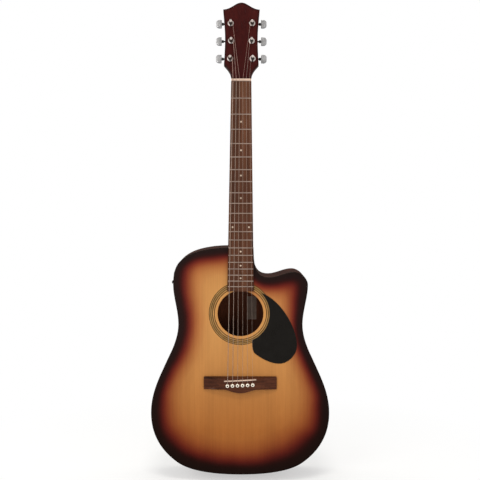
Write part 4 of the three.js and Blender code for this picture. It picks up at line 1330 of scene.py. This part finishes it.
def make_winding(place, seat, side, string):
    """The string's turns on the post, and its end through the post's hole."""
    radius = STRING_DIAMETERS[string] / 2
    turns = min((WRAP_HIGH - WRAP_LOW) / (2.1 * radius), WRAPS_AT_MOST)
    pitch = (WRAP_HIGH - WRAP_LOW) / turns
    wide = POST_R + radius
    coil = []
    for k in range(int(turns * WRAP_STEPS) + 1):
        angle = math.pi / 2 - side * 2 * math.pi * k / WRAP_STEPS
        level = WRAP_LOW + radius + pitch * k / WRAP_STEPS
        coil.append((wide * math.cos(angle), wide * math.sin(angle), level))
    coil.append((0, 0.5, WRAP_HIGH + 1.8 + radius))
    coil.append((0, -POST_R - 1.6, WRAP_HIGH + 2.0 + radius))
    # Painted shade: the turns on the post take darker paints than the free strings.
    paint = "wound_post_shade" if string < WOUND_STRINGS else "shaded_post_metal"
    add_piece(f"winding_{place}", tube(coil, radius, 10), paint, place=seat, body=f"post_{place}", smooth=60)


def make_button(place, seat, side, across):
    """The button with the worm's shaft, which is dark up to the button."""
    reach = BUTTON_X - across
    outline = trail(
        (-6, -8), ((-6, 8),), ((-6, 9), (-5.6, 9.5), (-4.6, 9.5)), ((0.2, 9.5),),
        ((2.6, 9.5), (6.3, 6.2), (6.3, 3.4)), ((6.3, -3.4),),
        ((6.3, -6.2), (2.6, -9.5), (0.2, -9.5)), ((-4.6, -9.5),), ((-5.6, -9.5), (-6, -9), (-6, -8)),
        steps=7,
    )[:-1]
    outline = [(side * x, y) for x, y in outline][::-side]
    key = moved(slab(outline, -3, 3, edge=1.5, soft=5), shift(side * reach, WORM_OFFSET, WORM_DEEP))
    inner = reach - BUTTON_BACK
    shaft = [(0, -6.1), (2.2, -6.1), (2.2, 6.2), (1.6, 6.3), (1.6, inner - 5), (2.6, inner - 4.7),
             (3.2, inner - 3.8), (3.2, inner - 0.5), (2.6, inner - 0.1), (2.0, inner + 3), (0, inner + 3)]
    rod = moved(turned(shaft, 24), on_worm(side))
    made = add_piece(f"tuner_key_{place}", united(key, rod), "satin", place=seat, body=f"button_{place}",
                     stands_for=[f"tuner_button_{place}"], smooth=40)
    join_x = (BUTTON_X - BUTTON_BACK - 0.1) * MM
    paint_within(made, "dark_metal_and_shade", lambda centre, normal: abs(centre.x) < join_x)


def make_tuners():
    for row, (across, up) in enumerate(POST_SEATS):
        for side, hand, string in ((-1, "bass", row), (1, "treble", 5 - row)):
            place = f"{hand}_{row + 1}"
            seat = HEAD @ shift(side * across, up, 0)
            make_washer(place, seat)
            make_gear_case(place, seat, side)
            make_post(place, seat)
            make_winding(place, seat, side, string)
            make_button(place, seat, side, across)


# ---- the preamp, the end jack and the strap button --------------------------------------------

SHOULDER_X = -60
WAIST_Y = 330


def beyond_side(y, z, out):
    """A point beyond the bass side near the shoulder, so far out from its face."""
    path = [point for point in OUTLINE if point[0] < SHOULDER_X and point[1] > WAIST_Y]
    path.sort(key=lambda point: point[1])
    ys = [point[1] for point in path]
    xs = [point[0] for point in path]
    x = float(np.interp(y, ys, xs))
    slope = (np.interp(y + 1, ys, xs) - np.interp(y - 1, ys, xs)) / 2
    away = Vector((-1, slope, 0)).normalized()
    return (x + away.x * out, y + away.y * out, z)


def rounded_box(x0, x1, y0, y1, corner):
    route = []
    for cx, cy, start in ((x1 - corner, y0 + corner, 270), (x1 - corner, y1 - corner, 0),
                          (x0 + corner, y1 - corner, 90), (x0 + corner, y0 + corner, 180)):
        route += arc((cx, cy), corner, start, start + 90, 6)
    return route


def wrapped(mesh):
    """A flat mesh drawn with x up the guitar, y as its depth and z outwards, bent onto the side."""
    for vertex in mesh.vertices:
        vertex.co = beyond_side(*vertex.co)
    mesh.flip_normals()
    return mesh


PANEL_HALF = 16
PANEL_BACK = -89
PANEL_FRONT = -14
DOOR_HALF = 10.1
DOOR_BACK = -84.6
DOOR_FRONT = -55.9
DOOR_GAP = 0.3
GRIP = (PREAMP_Y - 9, PREAMP_Y - 7.4, -77, -63)
KNOBS = (("volume", -27), ("tone", -41))
KNOB_Y = PREAMP_Y - 8.4
KNOB_FACE_X = -149.3
KNOB_R = 3.0
KNOB_RIPPLES = 18
DIAL_R = 4.6
DIAL_TURNS = range(-135, 136, 45)


def panel_box(half, back, front, corner):
    return rounded_box(PREAMP_Y - half, PREAMP_Y + half, back, front, corner)


def make_panel():
    doorway = panel_box(DOOR_HALF + DOOR_GAP, DOOR_BACK - DOOR_GAP, DOOR_FRONT + DOOR_GAP, 1.5)
    plate = panel_box(PANEL_HALF, PANEL_BACK, PANEL_FRONT, 3.5)
    panel = slab(plate, 0.05, 1.3, [doorway], edge=0.5, spacing=3)
    add_piece("control_panel", wrapped(panel), "black", stands_for=["preamp_panel"], smooth=50)

    leaf = panel_box(DOOR_HALF, DOOR_BACK, DOOR_FRONT, 1.3)
    door = slab(leaf, 0.1, 1.25, edge=0.3, spacing=3)
    grip = slab(rounded_box(*GRIP, 0.7), 1.2, 1.75, edge=0.25)
    add_piece("door_leaf", wrapped(merged(door, grip)), "black", body="battery_door",
              stands_for=["battery_door"], smooth=50)


def make_dial_marks():
    marks = []
    for _, z in KNOBS:
        for turn in DIAL_TURNS:
            angle = math.radians(turn)
            here = (KNOB_Y + DIAL_R * math.cos(angle), z + DIAL_R * math.sin(angle))
            marks.append(slab(ring(here, 0.28, 10), 1.25, 1.36, edge=0.03, soft=1))
    add_piece("dial_marks", wrapped(merged(*marks)), "mark")


def make_knobs():
    profile = [(0, 0), (KNOB_R, 0), (KNOB_R, 1.9), (2.6, 2.5), (0, 2.5)]
    for name, z in KNOBS:
        cap_shape = turned(profile, 2 * KNOB_RIPPLES)
        for vertex in cap_shape.vertices:
            if math.hypot(vertex.co.x, vertex.co.y) > KNOB_R - 0.1:
                turned_by = math.atan2(vertex.co.y, vertex.co.x) / math.pi
                ripple = 1 - 0.05 * (round(turned_by * KNOB_RIPPLES) % 2)
                vertex.co.x *= ripple
                vertex.co.y *= ripple
        stem = cylinder(1.6, -11, 0.2, 20)
        line = slab(rounded_box(0.3, 2.4, -0.25, 0.25, 0.2), 2.4, 2.62, edge=0.04, soft=1)
        turn = shift(KNOB_FACE_X, KNOB_Y, z) @ spin("Y", -90)
        add_piece(f"{name}_cap", moved(merged(cap_shape, stem), turn), "knob", body=f"{name}_knob",
                  stands_for=[f"{name}_knob"], smooth=30)
        add_piece(f"{name}_pointer", moved(line, turn), "mark", body=f"{name}_knob")


def make_end_jack():
    barrel = [
        (0, 30), (3.2, 28), (3.2, -12), (7.6, -12), (8.2, -11.7), (8.4, -11.2), (8.4, -10), (7.8, -9.4),
        (5.6, -7.8), (5.4, -6.8), (5.4, -3.2), (6.2, -2.7), (8.6, -1.9), (9, -1.2), (9, -0.1), (6, -0.1),
        (6, 38), (0, 38),
    ]
    jack = moved(turned(barrel[::-1], 40), shift(0, 0, JACK_Z) @ spin("X", -90))
    add_piece("jack_barrel", jack, "chrome", stands_for=["end_jack"], smooth=30)


def make_strap_button():
    """The strap button on the heel, with its slotted screw."""
    knob = [
        (0, -11.0), (1.9, -11.0), (2.1, -11.4), (5.9, -11.4), (6.4, -11.0), (6.4, -10.2), (5.4, -8.6),
        (3.9, -7.2), (3.5, -5.4), (3.9, -3.2), (5.6, -1.2), (6.2, -0.1), (1.5, -0.1), (1.5, 15), (0, 15),
    ]
    place = shift(0, STRAP_BUTTON_Y, 1 - DEPTH_AT_NECK)
    slot = slab(rounded_box(-1.6, 1.6, -0.35, 0.35, 0.2), -11.3, -10.5, edge=0.03, soft=1)
    slot = moved(slot, spin("Z", 30))
    shape = united(turned(knob, 36), slot, "DIFFERENCE")
    add_piece("strap_peg", moved(shape, place), "chrome", stands_for=["strap_button"], smooth=35)


def dress_inside():
    for node in ("top_lining", "back_lining", "neck_block", "tail_block", "top_bracing", "bridge_plate"):
        dress(node, "inner")
    dress("back_bracing", "inner_back")
    dress("truss_rod", "steel")
    dress("pickup", "rubber")
    dress("jack_lead", "rubber")
    dress("preamp_case", "black", 0.8)
    dress("battery", "can", 0.8)


MATERIALS = make_materials()
make_camera()
make_studio()
make_top()
make_back()
make_ribs()
make_rosette()
make_pickguard()
make_label()
make_neck()
make_veneer()
make_fretboard()
make_frets()
make_dots()
make_nut()
make_bridge()
make_saddle()
make_pins()
make_strings()
make_tuners()
make_panel()
make_dial_marks()
make_knobs()
make_end_jack()
make_strap_button()
dress_inside()
